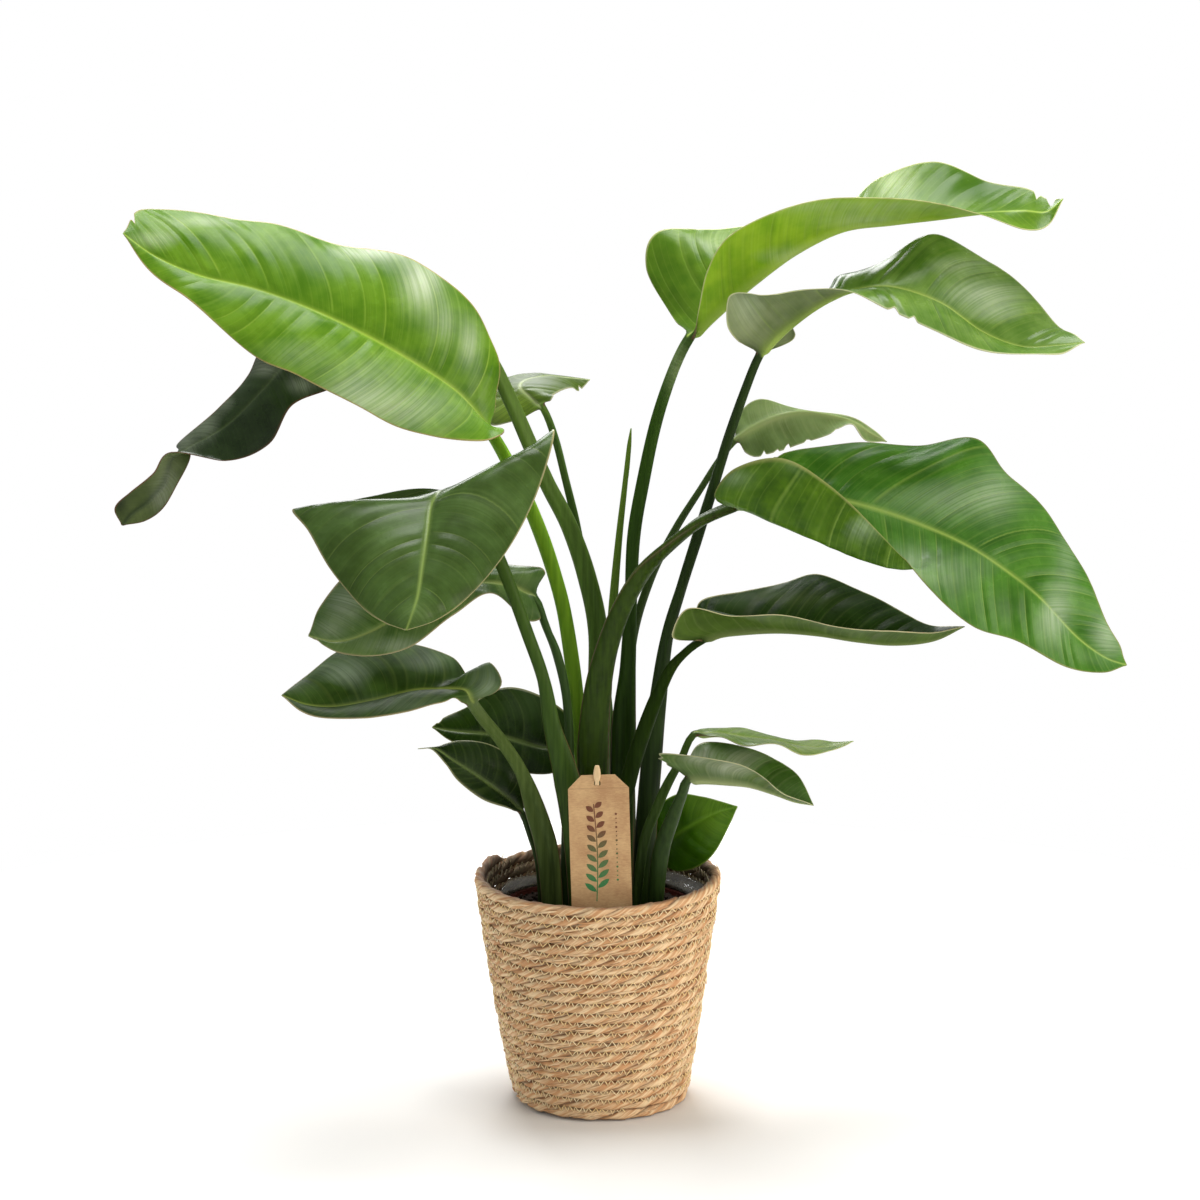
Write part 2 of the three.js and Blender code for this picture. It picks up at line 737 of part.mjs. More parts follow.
function bladeRows(leaf) {
  const rows = leaf.blade.map(([mid, left, right, leftHalf, rightHalf]) => ({
    mid: sighted(mid),
    left: left && sighted(left),
    right: right && sighted(right),
    leftHalf: leftHalf && sighted(leftHalf),
    rightHalf: rightHalf && sighted(rightHalf),
  }));
  const tip = rows[rows.length - 1];
  const before = rows[rows.length - 2];
  tip.left = tip.mid.clone().lerp(before.left, TIP_WIDTH_SHARE);
  tip.right = tip.mid.clone().lerp(before.right, TIP_WIDTH_SHARE);
  rows.forEach((row, k) => {
    const ahead = rows[Math.min(k + 1, rows.length - 1)].mid;
    const behind = rows[Math.max(k - 1, 0)].mid;
    const along = ahead.clone().sub(behind);
    const normal = along.cross(row.left.clone().sub(row.right)).normalize();
    for (const side of ['left', 'right']) {
      const rise = leaf.camber * row[side].distanceTo(row.mid);
      row[`${side}Half`] ??= row.mid.clone().lerp(row[side], 0.5).addScaledVector(normal, rise);
    }
  });
  return rows;
}

function tearDepth(leaf, row, side) {
  let deepest = 0;
  for (const tear of leaf.tears ?? []) {
    const off = Math.abs(row - tear.at) / tear.half;
    if (tear.side === side && off < 1) {
      deepest = Math.max(deepest, tear.deep * (1 - off));
    }
  }
  return deepest;
}

function bladeSurface(leaf) {
  const rows = bladeRows(leaf);
  const lines = {};
  for (const name of ['left', 'leftHalf', 'mid', 'rightHalf', 'right']) {
    lines[name] = smoothCurve(rows.map((row) => row[name]));
  }
  return (row, column) => {
    const side = column < 0 ? 'left' : 'right';
    const reach = Math.abs(column);
    const share = reach * (1 - tearDepth(leaf, row, Math.sign(column)) * reach);
    return new THREE.Vector3()
      .addScaledVector(lines.mid(row), (1 - share) * (1 - 2 * share))
      .addScaledVector(lines[`${side}Half`](row), 4 * share * (1 - share))
      .addScaledVector(lines[side](row), share * (2 * share - 1));
  };
}

function bladeNormal(surface, row, column, lastRow) {
  const step = 0.04;
  const along = surface(Math.min(row + step, lastRow), column).sub(surface(Math.max(row - step, 0), column));
  const across = surface(row, Math.min(column + step, 1)).sub(surface(row, Math.max(column - step, -1)));
  return across.cross(along).normalize();
}

function marginWave(leaf, row, column, lastRow) {
  const fade = Math.min(row, lastRow - row, 1);
  const length = sighted(leaf.blade[0][0]).distanceTo(sighted(leaf.blade[lastRow][0]));
  const phase = column > 0 ? 0 : LEFT_WAVE_PHASE;
  const swing = Math.sin((2 * Math.PI * length * row) / (lastRow * MARGIN_WAVE_LENGTH) + phase);
  return leaf.wave * fade * Math.abs(column) ** 3 * swing;
}

function bladeRing(leaf, surface, row, lastRow, ribDepth) {
  const upper = [];
  const lower = [];
  for (const column of leaf.columns) {
    const normal = bladeNormal(surface, row, column, lastRow);
    const middle = surface(row, column).addScaledVector(normal, marginWave(leaf, row, column, lastRow));
    const rib = column === 0 ? ribDepth : 0;
    upper.push(middle.clone().addScaledVector(normal, BLADE_THICKNESS / 2));
    lower.push(middle.clone().addScaledVector(normal, -BLADE_THICKNESS / 2 - rib));
  }
  return [...upper, ...lower.reverse()];
}

function bladeStations(leaf, lastRow) {
  const stations = Array.from({ length: lastRow * 2 }, (_, i) => (i + 1) / 2);
  for (const tear of leaf.tears ?? []) {
    stations.push(tear.at - tear.half, tear.at, tear.at + tear.half);
  }
  stations.sort((a, b) => a - b);
  return stations.filter((row, i) => i === 0 || row - stations[i - 1] > CLOSEST_STATIONS);
}

// Which way the left edge of a leaf's foot points: straight to the left or straight to the right

function footLeft(leaf) {
  const [, left, right] = leaf.blade[0];
  return RIGHT.clone().multiplyScalar(left[0] < right[0] ? -1 : 1);
}

function makeLeaf(leaf) {
  const count = leaf.columns.length * 2;
  const lastRow = leaf.blade.length - 1;
  const surface = bladeSurface(leaf);

  const [footX, footY, footWidth, footThickness] = leaf.foot;
  const stalkRows = leaf.stalk.length + 1;
  const middle = smoothCurve([
    new THREE.Vector3(footX, footY, SOIL_TOP),
    ...leaf.stalk.map(sighted),
    ...leaf.blade.map(([mid]) => sighted(mid)),
  ]);
  const [, , , topWidth, topThickness] = leaf.stalk[leaf.stalk.length - 1];
  const widths = [footWidth, ...leaf.stalk.map((row) => row[3]), topWidth * NECK_SHARE];
  const thicknesses = [footThickness, ...leaf.stalk.map((row) => row[4]), topThickness * NECK_SHARE];

  const bottomLeft = footLeft(leaf);
  const topLeft = surface(0, -1).sub(surface(0, 1)).normalize();
  const rings = footRings(leaf.foot, bottomLeft, count);
  for (let row = 1; row <= stalkRows; row += 1) {
    const along = middle(row + 0.1).sub(middle(row - 0.1)).normalize();
    const turned = THREE.MathUtils.smoothstep(row / stalkRows, TWIST_START, 1);
    const left = bottomLeft.clone().lerp(topLeft, turned);
    left.addScaledVector(along, -left.dot(along)).normalize();
    const normal = along.clone().cross(left);
    rings.push(ellipseRing(middle(row), left, normal, between(widths, row), between(thicknesses, row), count));
  }
  for (const row of bladeStations(leaf, lastRow)) {
    const ribDepth = (topThickness - BLADE_THICKNESS) * RIB_SHARE * (1 - row / lastRow) ** RIB_TAPER;
    rings.push(bladeRing(leaf, surface, row, lastRow, ribDepth));
  }
  return skin(rings);
}

function makeSpear() {
  const rings = footRings(SPEAR.foot, RIGHT, SPEAR_SIDES);
  const [x, y, footWidth] = SPEAR.foot;
  const middle = smoothCurve([new THREE.Vector3(x, y, SOIL_TOP), ...SPEAR.rows.map(sighted)]);
  const widths = [footWidth, ...SPEAR.rows.map((row) => row[3])];
  for (let row = 0.5; row <= SPEAR.rows.length; row += 0.5) {
    const width = between(widths, row);
    rings.push(ellipseRing(middle(row), RIGHT, BACK, width, width, SPEAR_SIDES));
  }
  return skin(rings);
}

// Tag: a card with two cut corners and a slot, on a stick whose head comes through the slot

function makeTag() {
  const half = TAG_WIDTH / 2;
  const height = TAG_TOP - TAG_BOTTOM;
  const outline = new THREE.Shape([
    new THREE.Vector2(-half, -height),
    new THREE.Vector2(half, -height),
    new THREE.Vector2(half, -TAG_CORNER),
    new THREE.Vector2(half - TAG_CORNER, 0),
    new THREE.Vector2(-half + TAG_CORNER, 0),
    new THREE.Vector2(-half, -TAG_CORNER),
  ]);
  const slotTop = SLOT_HEIGHT - SLOT_BELOW_TOP;
  outline.holes.push(new THREE.Path([
    new THREE.Vector2(-SLOT_WIDTH / 2, -SLOT_BELOW_TOP),
    new THREE.Vector2(-SLOT_WIDTH / 2, slotTop),
    new THREE.Vector2(SLOT_WIDTH / 2, slotTop),
    new THREE.Vector2(SLOT_WIDTH / 2, -SLOT_BELOW_TOP),
  ]));
  const geometry = new THREE.ExtrudeGeometry(outline, { depth: TAG_THICKNESS, bevelEnabled: false });
  return geometry.rotateZ(TAG_TURN).rotateX(Math.PI / 2).translate(0, TAG_FRONT + TAG_THICKNESS, TAG_TOP);
}

const STICK_Y = TAG_FRONT + TAG_THICKNESS + CLEARANCE + STICK_THICKNESS / 2;

function makeStick() {
  const insideSlot = TAG_FRONT + TAG_THICKNESS / 2;
  const front = TAG_FRONT - CLEARANCE - STICK_THICKNESS / 2;
  const slotFoot = TAG_TOP - SLOT_BELOW_TOP;
  const slotTop = slotFoot + SLOT_HEIGHT;
  const stations = [
    [STICK_Y, STICK_FOOT, STICK_WIDTH - 1, STICK_THICKNESS],
    [STICK_Y, slotFoot - STICK_BEND, STICK_WIDTH, STICK_THICKNESS],
    [insideSlot, (slotFoot + slotTop) / 2, STICK_WIDTH, STICK_NECK],
    [front, slotTop + STICK_BEND, STICK_WIDTH, STICK_THICKNESS],
    [front, STICK_TOP - 5, STICK_WIDTH - 1, STICK_THICKNESS],
    [front, STICK_TOP, STICK_WIDTH - 4, STICK_THICKNESS],
  ];
  return skin(stations.map(([y, z, width, thickness]) => (
    ellipseRing(new THREE.Vector3(STICK_X, y, z), RIGHT, BACK, width, thickness, STICK_SIDES)
  )));
}

function stickHole() {
  const foot = STICK_FOOT - FOOT_CLEARANCE;
  const height = SOIL_TOP + 5 - foot;
  const width = STICK_WIDTH + 2 * FOOT_CLEARANCE;
  const hole = new THREE.BoxGeometry(width, STICK_THICKNESS + 2 * FOOT_CLEARANCE, height);
  return hole.translate(STICK_X, STICK_Y, foot + height / 2);
}

function makeSoil(holes) {
  const floor = POT_FLOOR + POT_WALL + CLEARANCE;
  const edge = SOIL_TOP - SOIL_EDGE;
  const slope = (POT_TOP_RADIUS - 1 - POT_BASE_RADIUS) / (POT_SHOULDER - POT_FLOOR);
  const wallAt = (height) => POT_BASE_RADIUS - POT_WALL + slope * (height - POT_FLOOR) - 2 * CLEARANCE;
  const body = toSolid(turnedSolid([
    [0, floor],
    [wallAt(floor), floor],
    [wallAt(edge), edge],
    [wallAt(edge) - SOIL_EDGE, SOIL_TOP],
    [0, SOIL_TOP],
  ], ROUND_SIDES));
  return toGeometry(wasm.Manifold.difference([body, ...holes.map(toSolid)]));
}

addMesh('basket', makeBasket(), '#c79f6e', 0.85);
addMesh('liner', makeLiner(), '#b9b7b0', 0.25);
addMesh('grower_pot', makePot(), '#9a4b33', 0.5);

const holes = [];
for (const [name, leaf] of Object.entries(LEAVES)) {
  addMesh(name, makeLeaf(leaf), leaf.colour, 0.4);
  holes.push(footHole(leaf.foot, footLeft(leaf), leaf.columns.length * 2));
}
addMesh('spear', makeSpear(), SPEAR.colour, 0.4);
holes.push(footHole(SPEAR.foot, RIGHT, SPEAR_SIDES));
addMesh('tag', makeTag(), '#c9a271', 0.8);
addMesh('stick', makeStick(), '#e3c49a', 0.6);
holes.push(stickHole());
addMesh('soil', makeSoil(holes), '#2b211b', 0.95);

export default group;
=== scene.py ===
# %% [markdown]
# A potted bird of paradise in a seagrass basket. Young bird of paradise plants are sold in a plastic
# grower's pot that stands in a basket with a thin film inside it. This lesson dresses a plain CAD model:
# each solid of the frame is replaced by a finer piece at the same place, or gets a better material.

# %% Load the frame
import math

import bpy
import numpy as np
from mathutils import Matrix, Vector


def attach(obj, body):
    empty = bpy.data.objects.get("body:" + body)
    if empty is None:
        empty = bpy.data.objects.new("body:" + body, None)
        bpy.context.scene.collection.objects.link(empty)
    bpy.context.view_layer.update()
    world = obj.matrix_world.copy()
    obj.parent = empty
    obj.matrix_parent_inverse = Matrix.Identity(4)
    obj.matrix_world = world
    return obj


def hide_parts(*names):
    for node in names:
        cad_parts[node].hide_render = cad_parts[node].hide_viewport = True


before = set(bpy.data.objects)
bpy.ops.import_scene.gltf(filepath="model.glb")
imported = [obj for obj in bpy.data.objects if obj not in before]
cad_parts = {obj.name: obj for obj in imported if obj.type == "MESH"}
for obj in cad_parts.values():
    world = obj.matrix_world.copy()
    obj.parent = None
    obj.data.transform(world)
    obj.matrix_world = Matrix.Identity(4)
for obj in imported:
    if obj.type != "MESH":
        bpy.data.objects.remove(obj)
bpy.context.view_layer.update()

MM = 0.001
print("frame holds", len(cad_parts), "nodes")

# %% [markdown]
# The camera comes first, because everything is judged through it. The plant was seen from almost three
# metres away, from about the height of its top, looking slightly down. A long lens keeps the basket
# upright, and a tiny shift puts the basket's axis where it belongs in the square picture.

# %% Camera
EYE_DISTANCE = 2840
EYE_HEIGHT = 984
AIM_HEIGHT = 534
FOCAL_PIXELS = 2765
PICTURE_PIXELS = 1200
AXIS_PIXELS_LEFT = 2
SENSOR_MM = 36

camera_data = bpy.data.cameras.new("camera")
camera_data.sensor_width = SENSOR_MM
camera_data.lens = SENSOR_MM * FOCAL_PIXELS / PICTURE_PIXELS
camera_data.shift_x = AXIS_PIXELS_LEFT / PICTURE_PIXELS
camera = bpy.data.objects.new("camera", camera_data)
camera.location = Vector((0, -EYE_DISTANCE, EYE_HEIGHT)) * MM
aim = Vector((0, 0, AIM_HEIGHT)) * MM
camera.rotation_euler = (aim - camera.location).to_track_quat("-Z", "Y").to_euler()
bpy.context.scene.collection.objects.link(camera)
bpy.context.scene.camera = camera
print("lens", round(camera_data.lens, 2), "mm")

# %% [markdown]
# A few helpers serve every material. Colours are written as sRGB hex values, as a colour picker shows them,
# while a shader reckons in linear light, so one function converts them. Another adds a node with its
# settings and links in one call, so that each material reads as a short list of steps. It names a node's
# kind without the "ShaderNode" that all of them start with.

# %% Colour and node helpers


def linear(hex_colour):
    channels = [int(hex_colour[i:i + 2], 16) / 255 for i in (1, 3, 5)]
    return tuple(c / 12.92 if c <= 0.04045 else ((c + 0.055) / 1.055) ** 2.4 for c in channels) + (1.0,)


def add_node(tree, kind, inputs=None, **settings):
    """Add a node and fill its inputs with values, or with links from a socket or a node's first socket."""
    node = tree.nodes.new("ShaderNode" + kind)
    for name, value in settings.items():
        setattr(node, name, value)
    for key, value in (inputs or {}).items():
        if isinstance(value, bpy.types.Node):
            value = value.outputs[0]
        if isinstance(value, bpy.types.NodeSocket):
            tree.links.new(value, node.inputs[key])
        else:
            node.inputs[key].default_value = value
    return node


def new_material(name):
    material = bpy.data.materials.new(name)
    material.use_nodes = True
    material.node_tree.nodes.clear()
    return material, material.node_tree


def finish_material(material, principled):
    tree = material.node_tree
    add_node(tree, "OutputMaterial", {"Surface": principled.outputs["BSDF"]})
    print("material:", material.name + ",", len(tree.nodes), "nodes")
    return material


# %% [markdown]
# The stage is a plain pale floor under soft studio light. One broad lamp stands high behind the plant and
# draws the whitish bands on the leaves, and the strongest one hangs above. A warm lamp at the right front
# lights the basket and leaves its left side in shade, and a faint one fills from the left. The world is
# white to the camera but gives less light than it shows, so that the inside of the plant stays deep.

# %% Stage and light
FLOOR_RADIUS = 1.25
FLOOR_SIDES = 96

floor_mesh = bpy.data.meshes.new("floor")
turns = [2 * math.pi * k / FLOOR_SIDES for k in range(FLOOR_SIDES)]
corners = [(FLOOR_RADIUS * math.cos(turn), FLOOR_RADIUS * math.sin(turn), 0) for turn in turns]
floor_mesh.from_pydata(corners, [], [list(range(FLOOR_SIDES))])
floor = bpy.data.objects.new("floor", floor_mesh)
bpy.context.scene.collection.objects.link(floor)
paper, tree = new_material("matte studio paper")
finish_material(paper, add_node(tree, "BsdfPrincipled", {"Base Color": linear("#f4f4f2"), "Roughness": 0.9}))
floor_mesh.materials.append(paper)
print("floor of radius", FLOOR_RADIUS, "m")

# %% [markdown]
# The light. Broad square lamps stand in for the soft boxes of a studio and cast soft shadows. Their watts were set
# against the highlights and shades of a real plant.

# %% World and lamps
WORLD_SEEN = 1.0
WORLD_LIGHT = 0.42

world = bpy.data.worlds.new("studio")
world.use_nodes = True
tree = world.node_tree
tree.nodes.clear()
rays = add_node(tree, "LightPath")
strength = add_node(
    tree, "MapRange", {"Value": rays.outputs["Is Camera Ray"], "To Min": WORLD_LIGHT, "To Max": WORLD_SEEN},
)
sky = add_node(tree, "Background", {"Color": linear("#ffffff"), "Strength": strength})
add_node(tree, "OutputWorld", {"Surface": sky.outputs["Background"]})
bpy.context.scene.world = world
bpy.context.scene.view_settings.view_transform = "Standard"


def add_lamp(name, place, target, size, watts, hex_colour):
    data = bpy.data.lights.new(name, "AREA")
    data.shape = "SQUARE"
    data.size = size
    data.energy = watts
    data.color = linear(hex_colour)[:3]
    lamp = bpy.data.objects.new(name, data)
    lamp.location = place
    lamp.rotation_euler = (Vector(target) - lamp.location).to_track_quat("-Z", "Y").to_euler()
    bpy.context.scene.collection.objects.link(lamp)


add_lamp("lamp_back", (-0.5, 2.5, 2.3), (-0.1, 0, 0.8), 1.5, 46, "#ffffff")
add_lamp("lamp_above", (0.1, 0.5, 3.9), (0, -0.2, 0), 1.8, 120, "#ffffff")
add_lamp("lamp_right", (2.6, -1.4, 1.1), (0, 0, 0.12), 2.0, 54, "#fff4e6")
add_lamp("lamp_left", (-1.6, -2.6, 1.2), (0, 0, 0.12), 2.0, 5, "#fffdf8")
print("lamps:", ", ".join(f"{lamp.name} {lamp.energy:.0f} W" for lamp in bpy.data.lights))

# %% [markdown]
# Every piece here is a skin drawn over rows of points: a rope strand, a leaf, a stick and the film are all rings of
# equal length joined one to the next, with a face across each end. Functions turn such rings into a closed mesh, carry
# the numbers that a material reads at each point, and put the piece into the frame: it rides on the part's one body,
# takes its material, and hides the plain solid it stands for.

# %% Meshes from rings


def unit(vectors):
    return vectors / np.maximum(np.linalg.norm(vectors, axis=-1, keepdims=True), 1e-9)


def ring_faces(ring_count, ring_size, start=0):
    k, i = np.meshgrid(np.arange(ring_count - 1), np.arange(ring_size), indexing="ij")
    here = start + k * ring_size + i
    beside = start + k * ring_size + (i + 1) % ring_size
    return np.stack([here, beside, beside + ring_size, here + ring_size], -1).reshape(-1, 4)


def tube_faces(ring_count, ring_size, start=0):
    """The faces between rings, and one face to close each end."""
    last = start + (ring_count - 1) * ring_size
    ends = [list(range(start, start + ring_size))[::-1], list(range(last, last + ring_size))]
    return ring_faces(ring_count, ring_size, start).tolist() + ends


def add_piece(name, points, faces, material, node=None, marks=None, smooth=True):
    mesh = bpy.data.meshes.new(name)
    mesh.from_pydata((np.asarray(points) * MM).tolist(), [], [list(map(int, face)) for face in faces])
    for mark, values in (marks or {}).items():
        layer = mesh.attributes.new(mark, "FLOAT_VECTOR", "POINT")
        layer.data.foreach_set("vector", np.ascontiguousarray(values, np.float32).ravel())
    if smooth:
        mesh.shade_smooth()
    mesh.materials.append(material)
    piece = bpy.data.objects.new(name, mesh)
    bpy.context.scene.collection.objects.link(piece)
    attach(piece, "root")
    if node:
        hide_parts(node)
    triangles = sum(len(face.vertices) - 2 for face in mesh.polygons)
    print(name, "has", triangles, "triangles")


def add_tube(name, rings, material, node=None, marks=None):
    add_piece(name, rings.reshape(-1, 3), tube_faces(*rings.shape[:2]), material, node, marks)


# %% [markdown]
# The leaves. A leaf of this plant is one growth: a sheath that wraps the others at its foot, a long
# petiole, and a paddle blade on the petiole's continuation, the midrib. Each leaf here is laid out by
# sightings: where the midrib and both margins lie as seen from the camera, with a depth for each. Smooth
# curves run through them, and a section through midrib, half point and margin spans the blade. That keeps
# every leaf in its own shape, which a shared leaf, bent a little for each place, would not.
#
# A sighting is [across, up, depth] in millimetres: read on the plane through the basket's axis, and how far
# behind that plane the point lies. foot is [x, y, width, thickness] at the soil. A stalk row is a sighting
# with width and thickness. A blade row is midrib, left margin, right margin and, where it curls, the middle
# of the left and right halves. A tear is its side (-1 left, 1 right), the row it is at, its depth as a share
# of that half of the blade, and its half width in rows.

# %% Sightings: three leaves at the upper left
LEAVES = {}
LEAVES["leaf_01"] = {
    "tears": [(1, 8.45, 0.3, 0.09)], "camber": 0.07, "wave": 1.5, "foot": [-8, 12, 13, 11],
    "stalk": [
        [-12, 300, 10, 14, 11], [-20, 400, 6, 16, 12], [-26, 460, 4, 16, 12], [-35, 520, 2, 15, 12],
        [-45, 560, 0, 15, 12], [-58, 600, -3, 16, 12], [-75, 642, -6, 16, 12], [-96, 684, -9, 15, 12],
    ],
    "blade": [
        [[-108, 705, -11], [-80, 717, -30], [-112, 716, -2]], [[-124, 729, -16], [-118, 700, -48], [-104, 745, 4]],
        [[-148, 754, -22], [-158, 703, -66], [-104, 790, 14]], [[-185, 779, -28], [-200, 712, -76], [-130, 840, 22]],
        [[-232, 806, -34], [-248, 736, -84], [-185, 884, 26]], [[-290, 834, -38], [-305, 766, -88], [-262, 901, 27]],
        [[-350, 856, -40], [-353, 788, -84], [-335, 922, 22]], [[-405, 869, -42], [-420, 846, -66], [-400, 931, 10]],
        [[-450, 888, -44], [-458, 874, -54], [-462, 937, -12]], [[-484, 912, -46]],
    ],
}
LEAVES["leaf_02"] = {
    "camber": 0.05, "wave": 1, "foot": [2, 36, 20, 13],
    "stalk": [
        [2, 310, 38, 22, 13], [0, 420, 40, 23, 13], [0, 500, 42, 21, 13], [-12, 560, 43, 20, 13],
        [-30, 612, 44, 18, 13], [-52, 655, 44, 17, 13], [-71, 698, 44, 17, 13], [-90, 742, 42, 17, 13],
    ],
    "blade": [
        [[-112, 785, 42], [-113, 772, 36], [-110, 798, 48]], [[-142, 812, 48], [-140, 770, 50], [-146, 842, 66]],
        [[-200, 830, 55], [-190, 775, 60], [-205, 868, 86]], [[-262, 818, 58], [-240, 768, 56], [-275, 862, 92]],
        [[-312, 788, 56], [-276, 753, 46], [-332, 820, 88]], [[-346, 752, 52], [-314, 737, 34], [-360, 768, 78]],
        [[-383, 716, 48], [-339, 697, 24], [-390, 733, 70]], [[-423, 693, 44], [-384, 679, 24], [-434, 697, 62]],
        [[-441, 682, 42], [-441, 689, 27], [-420, 686, 56]], [[-448, 656, 40], [-459, 666, 32], [-434, 656, 48]],
        [[-464, 638, 38], [-484, 647, 34], [-449, 631, 44]], [[-483, 624, 37], [-500, 630, 34], [-468, 617, 41]],
        [[-493, 612, 36]],
    ],
}
LEAVES["leaf_03"] = {
    "tears": [(1, 5.15, 0.35, 0.12)], "camber": 0.06, "wave": 1, "foot": [22, 60, 10, 9],
    "stalk": [
        [18, 320, 62, 10, 9], [10, 430, 64, 9, 8], [-2, 520, 65, 9, 8], [-14, 570, 65, 9, 8], [-24, 620, 65, 9, 8],
        [-34, 662, 65, 8, 8], [-44, 702, 65, 8, 8],
    ],
    "blade": [
        [[-56, 733, 66], [-60, 730, 70], [-52, 737, 61]], [[-70, 746, 86], [-92, 719, 96], [-46, 745, 66]],
        [[-80, 756, 112], [-113, 718, 128], [-46, 748, 84]], [[-74, 763, 140], [-113, 745, 160], [-38, 752, 108]],
        [[-52, 767, 160], [-92, 766, 184], [-27, 754, 134]], [[-30, 765, 172], [-50, 767, 188], [-19, 752, 158]],
        [[-8, 763, 176]],
    ],
}
print("leaves sighted:", len(LEAVES))

# %% [markdown]
# The lower leaves on the left are older and hang. That foreshortens them, so their depths matter more.

# %% Sightings: five leaves at the lower left
LEAVES["leaf_04"] = {
    "camber": 0.06, "wave": 1, "foot": [-17, -42, 24, 13],
    "stalk": [
        [-22, 270, -46, 27, 13], [-32, 340, -50, 28, 12], [-48, 400, -54, 18, 12], [-57, 450, -57, 13, 12],
        [-74, 500, -58, 13, 12], [-90, 545, -57, 13, 12], [-106, 585, -54, 13, 12],
    ],
    "blade": [
        [[-124, 618, -52], [-114, 624, -50], [-134, 616, -56]],
        [[-142, 642, -56], [-62, 693, -38], [-216, 642, -62], [-102, 666, -50], [-178, 650, -60]],
        [[-160, 650, -66], [-46, 712, -44], [-290, 630, -74], [-103, 674, -58], [-225, 634, -74]],
        [[-172, 634, -94], [-48, 692, -66], [-316, 628, -92]],
        [[-177, 605, -124], [-66, 638, -98], [-300, 606, -118]],
        [[-182, 572, -152], [-94, 586, -132], [-278, 566, -146]],
        [[-187, 540, -176], [-132, 540, -162], [-245, 526, -172]],
        [[-194, 518, -190], [-165, 514, -180], [-222, 510, -186]], [[-200, 502, -194]],
    ],
}
LEAVES["leaf_05"] = {
    "tears": [(-1, 6.72, 0.55, 0.1)], "camber": 0.08, "wave": 2, "foot": [-35, -12, 11, 10],
    "stalk": [
        [-33, 290, -16, 11, 10], [-30, 370, -19, 10, 9], [-33, 430, -21, 9, 9], [-42, 474, -23, 10, 9],
        [-55, 509, -25, 9, 9],
    ],
    "blade": [
        [[-66, 536, -27], [-50, 520, -34], [-53, 553, -20]], [[-90, 549, -30], [-72, 512, -44], [-62, 569, -12]],
        [[-125, 552, -38], [-112, 540, -54], [-110, 574, -10]],
        [[-165, 540, -50], [-150, 519, -72], [-168, 586, -16]],
        [[-205, 518, -64], [-192, 486, -88], [-225, 584, -30]],
        [[-240, 499, -76], [-235, 475, -94], [-268, 556, -48]],
        [[-272, 490, -84], [-270, 478, -92], [-290, 524, -66]], [[-302, 496, -86]],
    ],
}
LEAVES["leaf_06"] = {
    "tears": [(1, 2.85, 0.3, 0.25)], "camber": 0.08, "wave": 1, "foot": [-46, -42, 21, 13],
    "stalk": [
        [-53, 262, -46, 24, 13], [-66, 310, -50, 22, 12], [-80, 350, -54, 14, 11], [-101, 384, -58, 13, 11],
        [-120, 408, -60, 13, 11],
    ],
    "blade": [
        [[-131, 424, -62], [-139, 421, -68], [-120, 426, -56]],
        [[-138, 438, -64], [-150, 430, -84], [-101, 446, -44]],
        [[-154, 440, -67], [-164, 425, -94], [-114, 469, -28]],
        [[-170, 440, -70], [-180, 421, -102], [-133, 449, -24]],
        [[-195, 438, -74], [-205, 415, -110], [-153, 474, -16]],
        [[-235, 428, -80], [-245, 408, -116], [-200, 489, -14]],
        [[-275, 421, -86], [-285, 409, -114], [-260, 484, -22]],
        [[-305, 423, -90], [-312, 417, -106], [-304, 455, -52]], [[-331, 433, -90]],
    ],
}
LEAVES["leaf_07"] = {
    "tears": [(1, 5.45, 0.45, 0.14)], "camber": 0.05, "wave": 1, "foot": [-31, 22, 12, 10],
    "stalk": [
        [-29, 280, 24, 12, 10], [-27, 330, 24, 11, 9], [-28, 362, 23, 10, 9],
    ],
    "blade": [
        [[-36, 376, 22], [-32, 371, 18], [-31, 384, 26]], [[-62, 378, 19], [-44, 351, 12], [-30, 410, 32]],
        [[-90, 386, 18], [-76, 350, 9], [-62, 434, 38]], [[-116, 392, 17], [-106, 363, 8], [-98, 441, 40]],
        [[-142, 394, 16], [-134, 377, 8], [-136, 421, 32]], [[-159, 396, 15], [-156, 385, 9], [-159, 411, 24]],
        [[-174, 399, 14]],
    ],
}
LEAVES["leaf_08"] = {
    "camber": 0.08, "wave": 1, "foot": [-57, -16, 10, 9],
    "stalk": [
        [-62, 252, -18, 9, 8], [-71, 282, -19, 7, 7],
    ],
    "blade": [
        [[-80, 307, -20], [-83, 306, -25], [-76, 309, -15]], [[-93, 321, -23], [-96, 313, -38], [-68, 335, -12]],
        [[-112, 336, -26], [-122, 322, -44], [-80, 360, -8]], [[-133, 351, -28], [-147, 341, -43], [-112, 380, -8]],
        [[-153, 364, -29], [-160, 360, -37], [-146, 384, -14]],
        [[-171, 376, -29], [-174, 375, -31], [-169, 379, -26]], [[-189, 376, -29]],
    ],
}
print("leaves sighted:", len(LEAVES))

# %% [markdown]
# The tall leaves on the right show part of their lower face, so the curl of each half has to be right.

